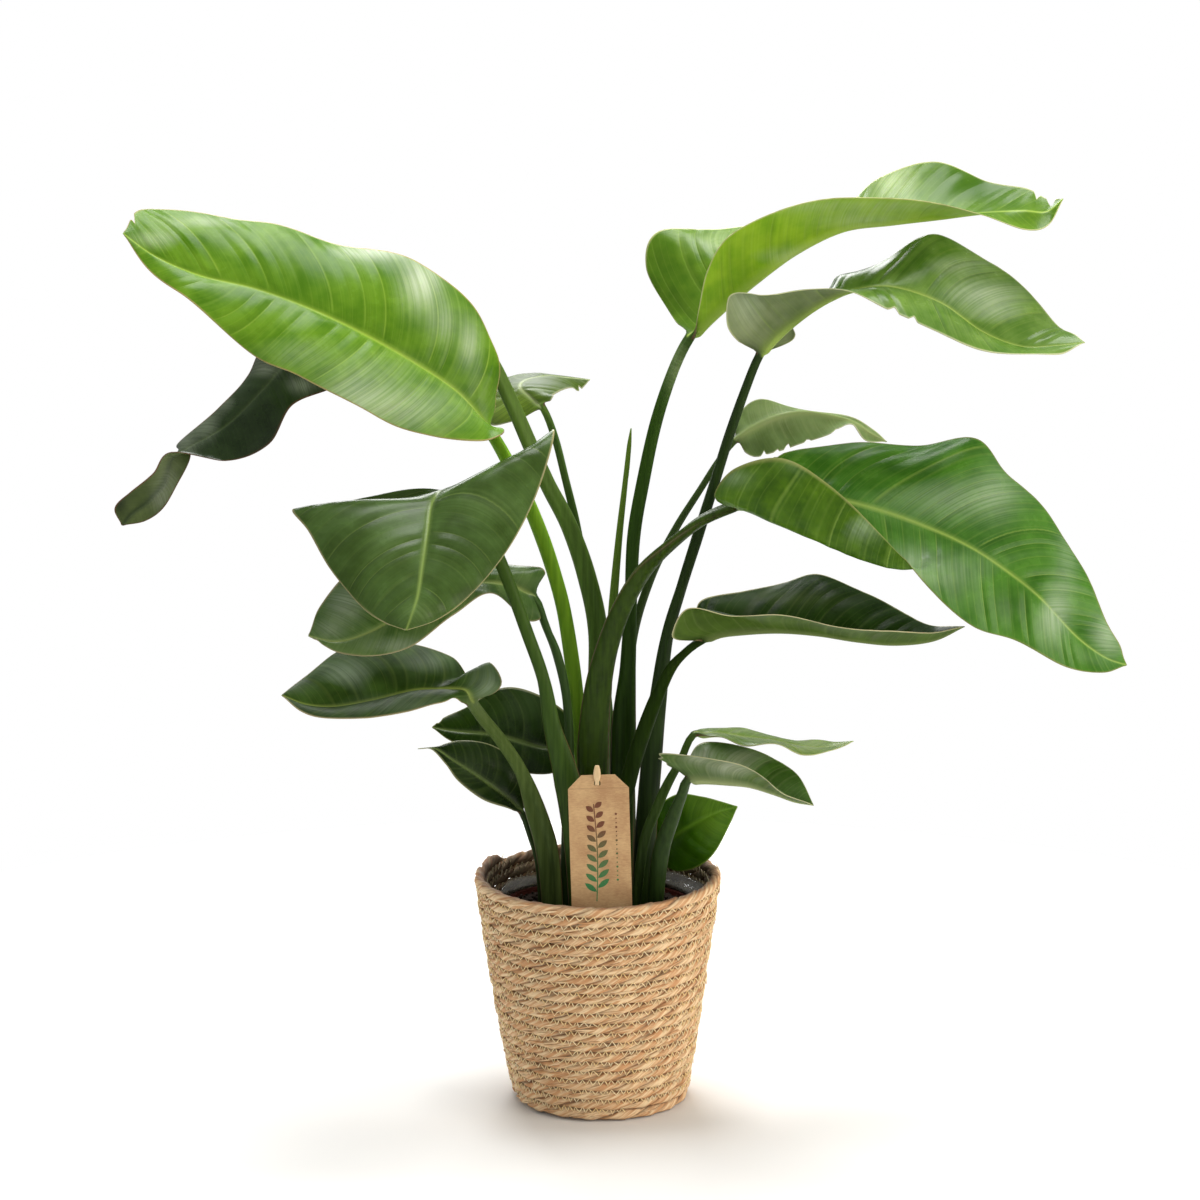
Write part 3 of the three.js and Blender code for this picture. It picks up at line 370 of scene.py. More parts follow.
# %% Sightings: three leaves at the upper right
LEAVES["leaf_09"] = {
    "tears": [(-1, 9.45, 0.3, 0.15), (-1, 10.3, 0.9, 0.28)], "camber": -0.04, "wave": 0, "foot": [25, 8, 23, 13],
    "stalk": [
        [25, 300, 8, 26, 12], [27, 400, 7, 26, 12], [31, 460, 6, 17, 12], [34, 530, 5, 13, 12], [37, 600, 4, 14, 12],
        [47, 660, 2, 14, 12], [60, 720, 0, 13, 12], [77, 772, -2, 12, 11],
    ],
    "blade": [
        [[93, 805, -4], [88, 811, 3], [99, 809, -10]], [[109, 822, -6], [72, 834, 42], [104, 840, -30]],
        [[131, 841, -8], [49, 878, 70], [112, 875, -44]], [[160, 865, -10], [62, 914, 84], [132, 908, -52]],
        [[202, 895, -9], [130, 917, 84], [176, 932, -54]], [[250, 917, -6], [240, 936, 82], [226, 946, -52]],
        [[300, 923, -2], [286, 968, 74], [280, 948, -46]], [[350, 928, 0], [342, 984, 66], [335, 944, -38]],
        [[394, 933, 0], [396, 964, 52], [390, 931, -28]], [[432, 935, 0], [436, 957, 36], [434, 916, -20]],
        [[456, 934, 0], [456, 947, 22], [458, 920, -14]], [[473, 947, 0]],
    ],
}
LEAVES["leaf_10"] = {
    "tears": [(1, 6.15, 0.16, 0.14), (1, 6.62, 0.12, 0.1)], "camber": 0.06, "wave": 3, "foot": [46, -12, 21, 13],
    "stalk": [
        [50, 280, -14, 23, 13], [56, 360, -17, 22, 12], [63, 430, -20, 18, 12], [72, 495, -22, 13, 11],
        [87, 548, -24, 11, 10], [103, 600, -26, 12, 10], [119, 652, -27, 11, 10], [135, 705, -28, 11, 10],
        [151, 752, -29, 10, 9],
    ],
    "blade": [
        [[165, 787, -30], [171, 790, -25], [159, 788, -38]], [[178, 803, -32], [198, 804, -8], [133, 818, -60]],
        [[196, 819, -35], [202, 821, 4], [133, 848, -72]], [[218, 835, -38], [222, 837, 10], [162, 848, -74]],
        [[239, 847, -40], [241, 860, 10], [196, 855, -70]], [[262, 855, -43], [254, 873, 4], [256, 851, -68]],
        [[300, 858, -48], [298, 887, 2], [297, 837, -86]], [[350, 842, -52], [347, 911, 8], [338, 814, -94]],
        [[394, 812, -55], [405, 880, 0], [388, 797, -92]], [[434, 797, -57], [455, 835, -18], [436, 787, -84]],
        [[470, 798, -59], [480, 814, -38], [474, 791, -74]], [[499, 801, -60]],
    ],
}
LEAVES["leaf_11"] = {
    "tears": [
        (-1, 1.5, 0.16, 0.12), (-1, 2.1, 0.1, 0.1), (-1, 2.54, 0.2, 0.12), (-1, 3.3, 0.12, 0.12), (-1, 4.3, 0.12, 0.15),
    ],
    "camber": 0.05, "wave": 2, "foot": [36, 38, 11, 9],
    "stalk": [
        [34, 320, 36, 11, 9], [32, 410, 34, 10, 9], [36, 490, 33, 9, 8], [54, 555, 34, 9, 8], [80, 608, 37, 8, 8],
        [106, 650, 42, 7, 7], [125, 680, 50, 7, 7],
    ],
    "blade": [
        [[140, 699, 58], [143, 696, 54], [139, 703, 61]], [[160, 713, 62], [161, 683, 52], [146, 729, 71]],
        [[184, 724, 65], [182, 688, 53], [164, 742, 79]], [[210, 729, 67], [207, 697, 54], [194, 737, 82]],
        [[238, 726, 69], [237, 705, 58], [230, 730, 80]], [[261, 720, 71], [262, 718, 65], [264, 722, 77]],
        [[280, 708, 71], [277, 700, 66], [283, 713, 75]], [[298, 699, 71]],
    ],
}
print("leaves sighted:", len(LEAVES))

# %% [markdown]
# Below them one broad leaf spreads far out, and four smaller ones stay low, close to the basket.

# %% Sightings: five leaves at the lower right
LEAVES["leaf_12"] = {
    "tears": [(-1, 1.67, 0.1, 0.06)], "camber": 0.06, "wave": 1.5, "foot": [-4, -12, 27, 14],
    "stalk": [
        [-5, 300, -17, 30, 14], [-5, 380, -22, 33, 14], [0, 440, -27, 28, 14], [10, 485, -33, 23, 14],
        [25, 526, -40, 21, 14], [48, 565, -47, 21, 14], [78, 595, -53, 20, 13], [108, 618, -57, 17, 12],
    ],
    "blade": [
        [[140, 632, -60], [137, 640, -52], [128, 630, -66]],
        [[165, 640, -62], [160, 668, -38], [121, 646, -92], None, [146, 630, -84]],
        [[198, 643, -65], [202, 690, -22], [142, 672, -108], None, [178, 616, -104]],
        [[240, 641, -68], [258, 697, -10], [190, 682, -116], None, [222, 598, -114]],
        [[290, 629, -72], [328, 696, -4], [238, 655, -122], None, [268, 578, -118]],
        [[340, 611, -76], [390, 701, 0], [290, 606, -126], None, [314, 566, -118]],
        [[385, 590, -80], [425, 664, -14], [348, 543, -126]], [[425, 564, -84], [468, 622, -32], [390, 506, -120]],
        [[460, 536, -88], [502, 568, -52], [436, 491, -112]], [[498, 496, -92], [530, 512, -76], [486, 464, -107]],
        [[528, 474, -94], [545, 482, -86], [526, 457, -102]], [[552, 465, -96]],
    ],
}
LEAVES["leaf_13"] = {
    "camber": 0.05, "wave": 1, "foot": [13, -42, 19, 13],
    "stalk": [
        [19, 280, -45, 19, 13], [34, 350, -50, 17, 13], [47, 392, -54, 16, 12], [61, 430, -58, 15, 12],
        [76, 462, -63, 13, 11], [92, 480, -67, 10, 9],
    ],
    "blade": [
        [[109, 492, -70], [104, 499, -64], [97, 489, -78]], [[128, 499, -71], [106, 533, -42], [77, 496, -98]],
        [[158, 502, -73], [150, 542, -26], [92, 524, -112]], [[192, 502, -75], [194, 553, -16], [134, 518, -118]],
        [[230, 498, -77], [230, 560, -12], [185, 518, -118]], [[270, 491, -79], [276, 543, -22], [240, 508, -115]],
        [[310, 487, -81], [316, 521, -38], [295, 501, -108]], [[350, 491, -83], [350, 507, -58], [345, 500, -98]],
        [[382, 506, -85]],
    ],
}
LEAVES["leaf_14"] = {
    "camber": 0.04, "wave": 2, "foot": [37, -44, 10, 9],
    "stalk": [
        [48, 272, -46, 11, 9], [61, 310, -46, 11, 9], [73, 338, -45, 10, 8], [86, 362, -42, 8, 8],
    ],
    "blade": [
        [[100, 391, -38], [97, 393, -33], [106, 389, -43]], [[124, 393, -34], [116, 399, 8], [132, 387, -66]],
        [[152, 389, -30], [146, 397, 24], [158, 380, -78]], [[182, 385, -26], [178, 391, 28], [188, 379, -76]],
        [[212, 379, -22], [210, 384, 22], [216, 371, -62]], [[240, 378, -20], [240, 384, 4], [243, 372, -42]],
        [[268, 384, -18]],
    ],
}
LEAVES["leaf_15"] = {
    "tears": [(1, 0.95, 0.22, 0.1), (1, 0.6, 0.16, 0.08)], "camber": 0.05, "wave": 2, "foot": [57, -49, 17, 13],
    "stalk": [
        [66, 262, -58, 18, 12], [78, 300, -68, 15, 11], [88, 326, -78, 12, 10],
    ],
    "blade": [
        [[95, 344, -86], [98, 350, -80], [89, 348, -93]], [[112, 344, -87], [96, 368, -64], [62, 368, -112]],
        [[136, 341, -87], [110, 383, -54], [100, 370, -122]], [[160, 337, -87], [150, 377, -48], [140, 361, -122]],
        [[185, 328, -87], [182, 368, -50], [170, 346, -116]], [[207, 319, -88], [208, 350, -64], [196, 329, -106]],
        [[227, 315, -89]],
    ],
}
LEAVES["leaf_16"] = {
    "camber": 0.04, "wave": 0.8, "foot": [57, 42, 9, 8],
    "stalk": [
        [57, 240, 44, 8, 7],
    ],
    "blade": [
        [[62, 258, 45], [59, 262, 46], [66, 253, 43]], [[74, 276, 42], [61, 308, 49], [84, 244, 34]],
        [[93, 290, 38], [82, 327, 46], [106, 249, 28]], [[113, 301, 34], [108, 325, 40], [123, 264, 26]],
        [[131, 309, 30], [128, 320, 33], [138, 293, 27]], [[147, 314, 28]],
    ],
}
print("leaves sighted:", len(LEAVES))

# %% [markdown]
# Some sizes hold for every leaf, in millimetres or in rows. A blade is thin, so its two faces lie close.
# The columns say where the points of one half lie, from midrib to margin: close together by the midrib,
# where the keel needs them, and by the margin, where tears do.

# %% Sizes shared by all leaves
SOIL_TOP = 198
FOOT_DEPTH = 34
BLADE_THICKNESS = 0.8
SOLID_THICKNESS = 1.2
TIP_WIDTH_SHARE = 0.05
MARGIN_LINE = 1.5
# The stalk: its stations, its neck under the blade, and where it starts to turn
STALK_STEP = 8
NECK_SHARE = 0.95
NECK_ROWS = 0.5
TWIST_START = 0.3
# The blade: its stations, its keel, its margin's wave, and the arches between its veins
STATION_STEP = 2.4
RIB_SHARE = 0.8
RIB_TAPER = 1.3
MARGIN_WAVE_LENGTH = 64
LEFT_WAVE_PHASE = 1.7
PLEAT_SPACING = 21
PLEAT_HEIGHT = 0.7
VEIN_LEAN = [0.16, 0.5, 0.2]

HALF_WIDE = [
    0.02, 0.045, 0.08, 0.125, 0.18, 0.25, 0.32, 0.40, 0.48, 0.56, 0.64, 0.72, 0.79, 0.85, 0.90, 0.945, 0.98, 1,
]
HALF_NARROW = [0.03, 0.07, 0.13, 0.21, 0.31, 0.42, 0.54, 0.66, 0.77, 0.87, 0.95, 1]
BROAD_LEAF_ROWS = 8
print("points across a broad leaf:", 2 * len(HALF_WIDE) + 1)

# %% [markdown]
# Three small pieces of geometry carry all the leaves. A sighting turns into a place in space by following
# its line of sight to the given depth. A smooth curve passes through a row of such places. Stations at even
# steps along that curve are where the rings go, each the closed outline of one slice of the leaf.

# %% Curves and sections
CURVE_SAMPLES = 600


def sighted(rows):
    rows = np.asarray(rows, float)
    across, up, depth = rows[..., 0], rows[..., 1], rows[..., 2]
    back = depth / EYE_DISTANCE
    return np.stack([across * (1 + back), depth, up + (up - EYE_HEIGHT) * back], -1)


def curve_at(points, rows):
    padded = np.vstack([2 * points[0] - points[1], points, 2 * points[-1] - points[-2]])
    rows = np.clip(rows, 0, len(points) - 1)
    first = np.minimum(rows.astype(int), len(points) - 2)
    t = (rows - first)[:, None]
    before, start, end, after = (padded[first + shift] for shift in range(4))
    leave, arrive = (end - before) / 2, (after - start) / 2
    return (
        (2 * start - 2 * end + leave + arrive) * t ** 3
        + (3 * end - 3 * start - 2 * leave - arrive) * t ** 2
        + leave * t + start
    )


def smoothstep(values, low=0.0, high=1.0):
    share = np.clip((values - low) / (high - low), 0, 1)
    return share * share * (3 - 2 * share)


def even_rows(points, step, last_row):
    fine = np.linspace(0, last_row, CURVE_SAMPLES)
    places = curve_at(points, fine)
    length = np.concatenate([[0], np.cumsum(np.linalg.norm(np.diff(places, axis=0), axis=1))])
    count = max(int(length[-1] / step), 4)
    return np.interp(np.linspace(0, length[-1], count + 1), length, fine)


# %% [markdown]
# The blade's surface. The half points lie a little above the straight line from midrib to margin, which
# gives the blade its shallow gutter, unless a sighting of their own curls it further. Tears cut in from the
# margin, and the points beside them close up, so that no face is lost.

# %% Blade surface


def blade_lines(leaf):
    rows = [list(row) + [None] * (5 - len(row)) for row in leaf["blade"]]
    lines = {"mid": sighted([row[0] for row in rows])}
    for place, side in ((1, "left"), (2, "right")):
        line = sighted([row[place] for row in rows[:-1]])
        tip = lines["mid"][-1] + (line[-1] - lines["mid"][-1]) * TIP_WIDTH_SHARE
        lines[side] = np.vstack([line, tip])
    mid = lines["mid"]
    along = np.vstack([mid[1:], mid[-1]]) - np.vstack([mid[0], mid[:-1]])
    normal = unit(np.cross(along, lines["left"] - lines["right"]))
    for place, side in ((3, "left"), (4, "right")):
        reach = np.linalg.norm(lines[side] - mid, axis=1, keepdims=True)
        half = (mid + lines[side]) / 2 + normal * leaf["camber"] * reach
        for k, row in enumerate(rows):
            if row[place]:
                half[k] = sighted(row[place])
        lines[side + "_half"] = half
    return lines


def tear_depth(leaf, rows, side):
    deepest = np.zeros(len(rows))
    for tear_side, at_row, depth, half_width in leaf.get("tears", ()):
        if tear_side == side:
            off = np.abs(rows - at_row) / half_width
            deepest = np.maximum(deepest, depth * np.clip(1 - off, 0, 1))
    return deepest


def blade_surface(leaf, lines, rows, columns):
    mid = curve_at(lines["mid"], rows)
    surface = np.zeros((len(rows), len(columns), 3))
    for side, name in ((-1, "left"), (1, "right")):
        chosen = columns < 0 if side < 0 else columns >= 0
        reach = np.abs(columns[chosen])[None, :, None]
        share = reach * (1 - tear_depth(leaf, rows, side)[:, None, None] * reach)
        half = curve_at(lines[name + "_half"], rows)[:, None]
        edge = curve_at(lines[name], rows)[:, None]
        surface[:, chosen] = (
            (1 - share) * (1 - 2 * share) * mid[:, None] + 4 * share * (1 - share) * half
            + share * (2 * share - 1) * edge
        )
    return surface


def surface_normals(surface):
    along = np.gradient(surface, axis=0)
    across = np.gradient(surface, axis=1)
    return unit(np.cross(across, along))


# %% [markdown]
# The stalk of a leaf has the section of a rounded gutter: half a sheath at its foot, almost round higher
# up. Its rings start in the soil and follow the midrib's curve, and they turn slowly from the way the
# sheath faces to the way the blade faces. The last of them run on under the blade for a little, as its neck.

# %% Stalk rings
GUTTER_HALF_WIDTH = 0.55
DIP_LEAST = 0.25
DIP_GAIN = 0.65
ROUND_BELOW = 1.3
OPEN_ABOVE = 2.2
ROW_PROBE = 0.1


def stalk_frame(leaf, lines):
    foot_x, foot_y = leaf["foot"][:2]
    mid = np.vstack([[foot_x, foot_y, SOIL_TOP], sighted([row[:3] for row in leaf["stalk"]]), lines["mid"]])
    first = leaf["blade"][0]
    bottom_left = np.array([-1.0 if first[1][0] < first[2][0] else 1.0, 0, 0])
    top_left = unit(lines["left"][0] - lines["right"][0])
    return mid, bottom_left, top_left


def gutter_ring(centre, left, normal, width, thickness, columns, open_share):
    rise = np.sqrt(np.clip(1 - columns ** 2, 0, 1))[None, :, None]
    dip = open_share[:, None, None] * np.exp(-(columns / GUTTER_HALF_WIDTH) ** 2)[None, :, None]
    side = centre[:, None] - left[:, None] * (width[:, None, None] / 2) * columns[None, :, None]
    lift = normal[:, None] * (thickness[:, None, None] / 2) * rise
    return np.concatenate([side + lift * (1 - dip), (side - lift)[:, ::-1]], 1)


def stalk_rings(leaf, lines, columns, blade_rows):
    """Rings of the stalk and the neck, their middles, how flat each is, and how many are stalk."""
    mid, bottom_left, top_left = stalk_frame(leaf, lines)
    last = len(leaf["stalk"]) + 1
    top = leaf["stalk"][-1][3:]
    sections = [leaf["foot"][2:]] + [row[3:] for row in leaf["stalk"]] + [[size * NECK_SHARE for size in top]]
    rows = even_rows(mid[:last + 1], STALK_STEP, last)
    all_rows = np.concatenate([rows, last + blade_rows[blade_rows < NECK_ROWS]])
    along = unit(curve_at(mid, all_rows + ROW_PROBE) - curve_at(mid, np.maximum(all_rows - ROW_PROBE, 0)))
    along[0] = (0, 0, 1)
    turned = smoothstep(np.minimum(all_rows / last, 1), TWIST_START, 1)[:, None]
    left = bottom_left * (1 - turned) + top_left * turned
    left = unit(left - along * (left * along).sum(1, keepdims=True))
    width, thickness = (np.interp(all_rows, np.arange(last + 1), sizes) for sizes in zip(*sections))
    flatness = width / thickness
    open_share = DIP_LEAST + DIP_GAIN * smoothstep(flatness, ROUND_BELOW, OPEN_ABOVE)
    centre = curve_at(mid, all_rows)
    rings = gutter_ring(centre, left, np.cross(along, left), width, thickness, columns, open_share)
    return rings, centre, flatness, len(rows)


# %% [markdown]
# The blade is thin, but it isn't plain. Its margin waves, and between the side veins it arches softly, so
# every point gets an offset from the smooth surface. The arches are drawn unevenly wide and fade out by the
# midrib, the margin and both ends, as they do on a real leaf. The measures found on the way are kept,
# because the finish is painted by them.

# %% Waves and arches of the blade
FOLD_DRIFT = [(1.4, 0.23, 1), (0.9, 0.41, 2)]
FOLD_STAGGER = 1.3
ARCH_MEAN = 0.6
ARCH_STARTS = (2.0, 12.0)
ARCH_STOPS = 14.0
BROAD_ENOUGH = (14.0, 45.0)


def blade_grid(leaf, lines, columns, blade_rows, seed):
    """Measures for every point of the blade, and the blade's own surface with its waves."""
    surface = blade_surface(leaf, lines, blade_rows, columns)
    last_row = len(leaf["blade"]) - 1
    reach = np.abs(columns)[None, :]
    side = np.where(columns < 0, LEFT_WAVE_PHASE, 0)[None, :]
    middle = curve_at(lines["mid"], blade_rows)
    length = np.concatenate([[0], np.cumsum(np.linalg.norm(np.diff(middle, axis=0), axis=1))])[:, None]
    strip = np.linalg.norm(np.diff(surface, axis=1), axis=2)
    arc = np.concatenate([np.zeros((len(surface), 1)), np.cumsum(strip, axis=1)], 1)
    centre = len(columns) // 2
    from_rib = np.abs(arc - arc[:, centre:centre + 1])
    to_margin = np.where(columns[None, :] < 0, arc, arc[:, -1:] - arc)

    chord = np.linalg.norm(lines["mid"][-1] - lines["mid"][0])
    fade = np.minimum(np.minimum(blade_rows, last_row - blade_rows), 1)[:, None]
    swing = np.sin(2 * np.pi * chord * blade_rows[:, None] / (last_row * MARGIN_WAVE_LENGTH) + side)
    offset = leaf["wave"] * fade * reach ** 3 * swing

    lean = VEIN_LEAN[0] + VEIN_LEAN[1] * length / length[-1] + VEIN_LEAN[2] * reach
    vein = length - from_rib * lean
    phase = 2 * np.pi * vein / PLEAT_SPACING
    drift = sum(size * np.sin(pace * phase + times * seed) for size, pace, times in FOLD_DRIFT)
    turn = (phase + drift + FOLD_STAGGER * side) / (2 * np.pi)
    strength = 0.6 + 0.4 * np.sin(0.37 * phase + 3 * seed)
    near_margin = 0.35 + 0.65 * smoothstep(to_margin, 0.0, ARCH_STOPS)
    broad = smoothstep(from_rib + to_margin, *BROAD_ENOUGH)
    hold = strength * smoothstep(from_rib, *ARCH_STARTS) * near_margin * fade * broad
    offset = offset + PLEAT_HEIGHT * (np.abs(np.sin(np.pi * turn)) - ARCH_MEAN) * hold
    normals = surface_normals(surface)
    return surface + normals * offset[..., None], normals, {
        "length": length, "from_rib": from_rib, "to_margin": to_margin, "vein": vein, "turn": turn, "hold": hold,
        "taper": np.clip(1 - blade_rows / last_row, 0, 1)[:, None],
    }


# %% [markdown]
# The two faces of the blade lie on both sides of that surface. Below it the midrib stands out as a keel
# that thins toward the tip, and above it lies in a shallow groove, because that is how a real midrib
# carries the blade. At the neck the stalk's rings change into the blade's rings, point by point.

# %% Leaf rings
GROOVE_DEPTH = 0.9


def blade_rings(surface, normals, grid, top_width, top_thickness):
    taper, from_rib = grid["taper"], grid["from_rib"]
    keel_depth = (top_thickness - SOLID_THICKNESS) * RIB_SHARE * taper ** RIB_TAPER
    grid["keel_width"] = 1.2 + 0.42 * top_width * taper ** 0.8
    keel = keel_depth * np.exp(-(from_rib / grid["keel_width"]) ** 2)
    groove = GROOVE_DEPTH * taper ** 0.5 * np.exp(-(from_rib / (1.2 + 1.8 * taper)) ** 2)
    upper = surface + normals * (BLADE_THICKNESS / 2 - groove)[..., None]
    lower = surface - normals * (BLADE_THICKNESS / 2 + keel)[..., None]
    return np.concatenate([upper, lower[:, ::-1]], 1)


def leaf_rings(leaf, seed):
    """All rings of a leaf, and the marks that its finish reads."""
    lines = blade_lines(leaf)
    half = np.array(HALF_WIDE if len(leaf["blade"]) > BROAD_LEAF_ROWS else HALF_NARROW)
    columns = np.concatenate([-half[::-1], [0], half])
    blade_rows = even_rows(lines["mid"], STATION_STEP, len(leaf["blade"]) - 1)[1:]
    rings, centre, flatness, stalk_count = stalk_rings(leaf, lines, columns, blade_rows)
    surface, normals, grid = blade_grid(leaf, lines, columns, blade_rows, seed)
    blade = blade_rings(surface, normals, grid, *leaf["stalk"][-1][3:])
    neck = len(rings) - stalk_count
    share = smoothstep(blade_rows[:neck] / NECK_ROWS)[:, None, None]
    blade[:neck] = rings[stalk_count:] * (1 - share) + blade[:neck] * share
    foot = rings[:1] - np.array([0, 0, FOOT_DEPTH])
    points = np.concatenate([foot, rings[:stalk_count], blade])
    grid.update(
        columns=columns, blade_rows=blade_rows, centre=centre[:stalk_count], flatness=flatness[:stalk_count],
        top=lines["mid"][0][2],
    )
    return points, leaf_marks(points, grid)


# %% [markdown]
# Besides its place, every point keeps marks for the material: place (how far along a vein, how far across, stalk or
# blade), marks (nearness to the midrib and to the margin, and the face), tone (how far up the leaf, and later the soft
# patches of painted highlight and painted shade) and folds (the arch that the point is on, and how strong that is).

# %% Marks for the finish
RIM_FROM = 0.4
SHEATH_FLATNESS = (1.25, 1.9)
HEM_SHARES = (0.93, 1.0)


def leaf_marks(points, grid):
    columns, from_rib, taper = grid["columns"], grid["from_rib"], grid["taper"]
    stalk_count = len(grid["centre"]) + 1
    blank = np.zeros((stalk_count, len(columns)))
    steps = np.linalg.norm(np.diff(grid["centre"], axis=0), axis=1)
    up_stalk = np.concatenate([[-FOOT_DEPTH], np.cumsum(np.r_[0, steps])])[:, None]
    in_blade = smoothstep(grid["blade_rows"], 0.0, 0.9)[:, None] + 0 * from_rib
    place = np.stack([
        np.vstack([up_stalk + blank, grid["vein"]]), np.broadcast_to(columns, (len(points), len(columns))),
        np.vstack([blank, in_blade]),
    ], -1)
    rim = 1 - smoothstep(grid["to_margin"], RIM_FROM, MARGIN_LINE)
    sheath = smoothstep(grid["flatness"], *SHEATH_FLATNESS)
    hem = np.r_[sheath[:1], sheath][:, None] * smoothstep(np.abs(columns)[None, :], *HEM_SHARES)
    faces = []
    for face, rib_width in ((1.0, 1.0 + 2.2 * taper), (0.0, 1.0 + 0.9 * grid["keel_width"])):
        rib = np.exp(-(from_rib / rib_width) ** 2)
        marks = np.stack([np.vstack([blank, rib]), np.vstack([hem, rim]), np.full(place.shape[:2], face)], -1)
        faces.append(marks if face else marks[:, ::-1])
    tone, folds = np.zeros(points.shape), np.zeros(points.shape)
    height = points[:stalk_count].mean(1)[:, 2]
    tone[:stalk_count, :, 0] = np.clip((height - SOIL_TOP) / (grid["top"] - SOIL_TOP), 0, 1)[:, None]
    tone[stalk_count:, :, 0] = 1 + grid["length"] / grid["length"][-1]
    for k, name in enumerate(("turn", "hold")):
        folds[stalk_count:, :, k] = np.concatenate([grid[name], grid[name][:, ::-1]], 1)
    return {
        "place": np.concatenate([place, place[:, ::-1]], 1), "marks": np.concatenate(faces, 1), "tone": tone,
        "folds": folds,
    }


# %% [markdown]
# Some parts of a leaf are paler or deeper than the rest, from the sky they mirror or the shade they lie in.
# A patch is a soft cloud placed as seen from the camera, and it tells the material where. The faces of a
# leaf are quads between the rings, and quads across each end, so that the piece is closed.

# %% Patches and faces


def paint_patches(points, skin, patches):
    flat = points.reshape(-1, 3)
    back = flat[:, 1] / EYE_DISTANCE
    across = flat[:, 0] / (1 + back)
    up = (flat[:, 2] + EYE_HEIGHT * back) / (1 + back)
    total = np.zeros(len(flat))
    for patch_across, patch_up, radius_across, radius_up, strength, face in patches:
        spread = ((across - patch_across) / radius_across) ** 2 + ((up - patch_up) / radius_up) ** 2
        on_face = 1.0 if face is None else 1 - np.abs(skin["marks"][..., 2].ravel() - face)
        total += strength * np.exp(-spread) * on_face
    skin["tone"][..., 1] += total.reshape(points.shape[:2])


def leaf_faces(ring_count, ring_size):
    faces = ring_faces(ring_count, ring_size).tolist()
    last = (ring_count - 1) * ring_size
    for i in range(1, ring_size // 2):
        lower = ring_size - i
        faces.append((i - 1, lower % ring_size, lower - 1, i))
        faces.append((last + i, last + lower - 1, last + lower % ring_size, last + i - 1))
    return faces


# %% [markdown]
# The finish of a living leaf. A waxy skin over green cells gives a soft gloss above and a duller, paler
# face below. It is built from the numbers stored in the points, not from an image, so it fits every leaf
# however it bends. First the material reads those numbers and draws what has a grain: streaks along the
# side veins, soft clouds of tone, and the fine veins themselves.

# %% Grain of a leaf
VEIN_SPACING_MM = 9.0
FINE_VEIN_MM = 1.9
MOTTLE_MM = 28
VEIN_WANDER = 3.0
CARRIED = {
    "place": ("vein", "across", "blade"), "marks": ("rib", "rim", "face"), "tone": ("along", "patch", "spare"),
    "folds": ("turn", "hold", "spare"),
}


def leaf_grain(tree, look):
    """Everything that the rest of the finish is mixed from, by name."""
    at = {}
    for mark, parts in CARRIED.items():
        carried = add_node(tree, "Attribute", attribute_name=mark)
        split = add_node(tree, "SeparateXYZ", {"Vector": carried.outputs["Vector"]})
        at.update({part: split.outputs[axis] for part, axis in zip(parts, "XYZ")})
    streak_place = add_node(tree, "CombineXYZ", {"X": at["vein"], "Y": at["across"], "Z": at["face"]})
    streaks = add_node(
        tree, "TexNoise", {"Vector": streak_place, "Scale": 1 / FINE_VEIN_MM, "Detail": 2.0, "Roughness": 0.6},
    )
    broad = add_node(
        tree, "TexNoise", {"Vector": streak_place, "Scale": 1 / (2.2 * VEIN_SPACING_MM), "Detail": 1.0},
    )
    wander = add_node(tree, "Math", {0: broad, 1: VEIN_WANDER}, operation="MULTIPLY")
    turns = add_node(tree, "Math", {0: at["vein"], 1: 1 / VEIN_SPACING_MM, 2: wander}, operation="MULTIPLY_ADD")
    to_vein = add_node(tree, "Math", {0: turns, 1: 0.5}, operation="PINGPONG")
    line = add_node(tree, "MapRange", {"Value": to_vein, "From Max": 0.1, "To Min": look["veins"], "To Max": 0.0})
    line = add_node(tree, "Math", {0: line, 1: at["blade"]}, operation="MULTIPLY")
    spot = add_node(tree, "TexCoord")
    clouds = add_node(
        tree, "TexNoise",
        {"Vector": spot.outputs["Object"], "Scale": 1000 / MOTTLE_MM, "Detail": 3.0, "Roughness": 0.55},
    )
    at.update(streaks=streaks, line=line, spot=spot.outputs["Object"], clouds=clouds)
    return at


# %% [markdown]
# The blade's colour goes on in layers, as a painter would lay it: a tone for each face, painted shade on one flank of
# each arch, then the paler veins and creases over both.

# %% Colour of a blade


def blade_colour(tree, at, look):
    mottle = add_node(tree, "Math", {0: at["streaks"], 1: 0.25, 2: at["clouds"]}, operation="MULTIPLY_ADD")
    light_share = add_node(tree, "MapRange", {"Value": mottle, "From Min": 0.45, "From Max": 0.8})
    lower, upper = (
        add_node(
            tree, "MixRGB", {"Fac": light_share, "Color1": linear(look[face][0]), "Color2": linear(look[face][1])},
        )
        for face in ("lower", "upper")
    )
    tone = add_node(tree, "MixRGB", {"Fac": at["face"], "Color1": lower, "Color2": upper})
    # Painted shade: one flank of each arch is darkened toward the painted shade colour.
    past_fold = add_node(tree, "Math", {0: at["turn"]}, operation="FRACT")
    flank_shade = add_node(
        tree, "MapRange",
        {"Value": past_fold, "From Min": 0.04, "From Max": 0.4, "To Min": look["flank_shade"], "To Max": 0.0},
    )
    flank_shade = add_node(tree, "Math", {0: flank_shade, 1: at["hold"]}, operation="MULTIPLY")
    to_fold = add_node(tree, "Math", {0: at["turn"], 1: 0.5}, operation="PINGPONG")
    crease = add_node(
        tree, "MapRange",
        {"Value": to_fold, "From Min": 0.01, "From Max": 0.05, "To Min": look["crests"], "To Max": 0.0},
    )
    crest = add_node(tree, "Math", {0: crease, 1: at["hold"], 2: at["line"]}, operation="MULTIPLY_ADD")
    for share, over in ((flank_shade, look["deep"]), (crest, look["rib"])):
        tone = add_node(tree, "MixRGB", {"Fac": share, "Color1": tone, "Color2": linear(over)})
    return tone
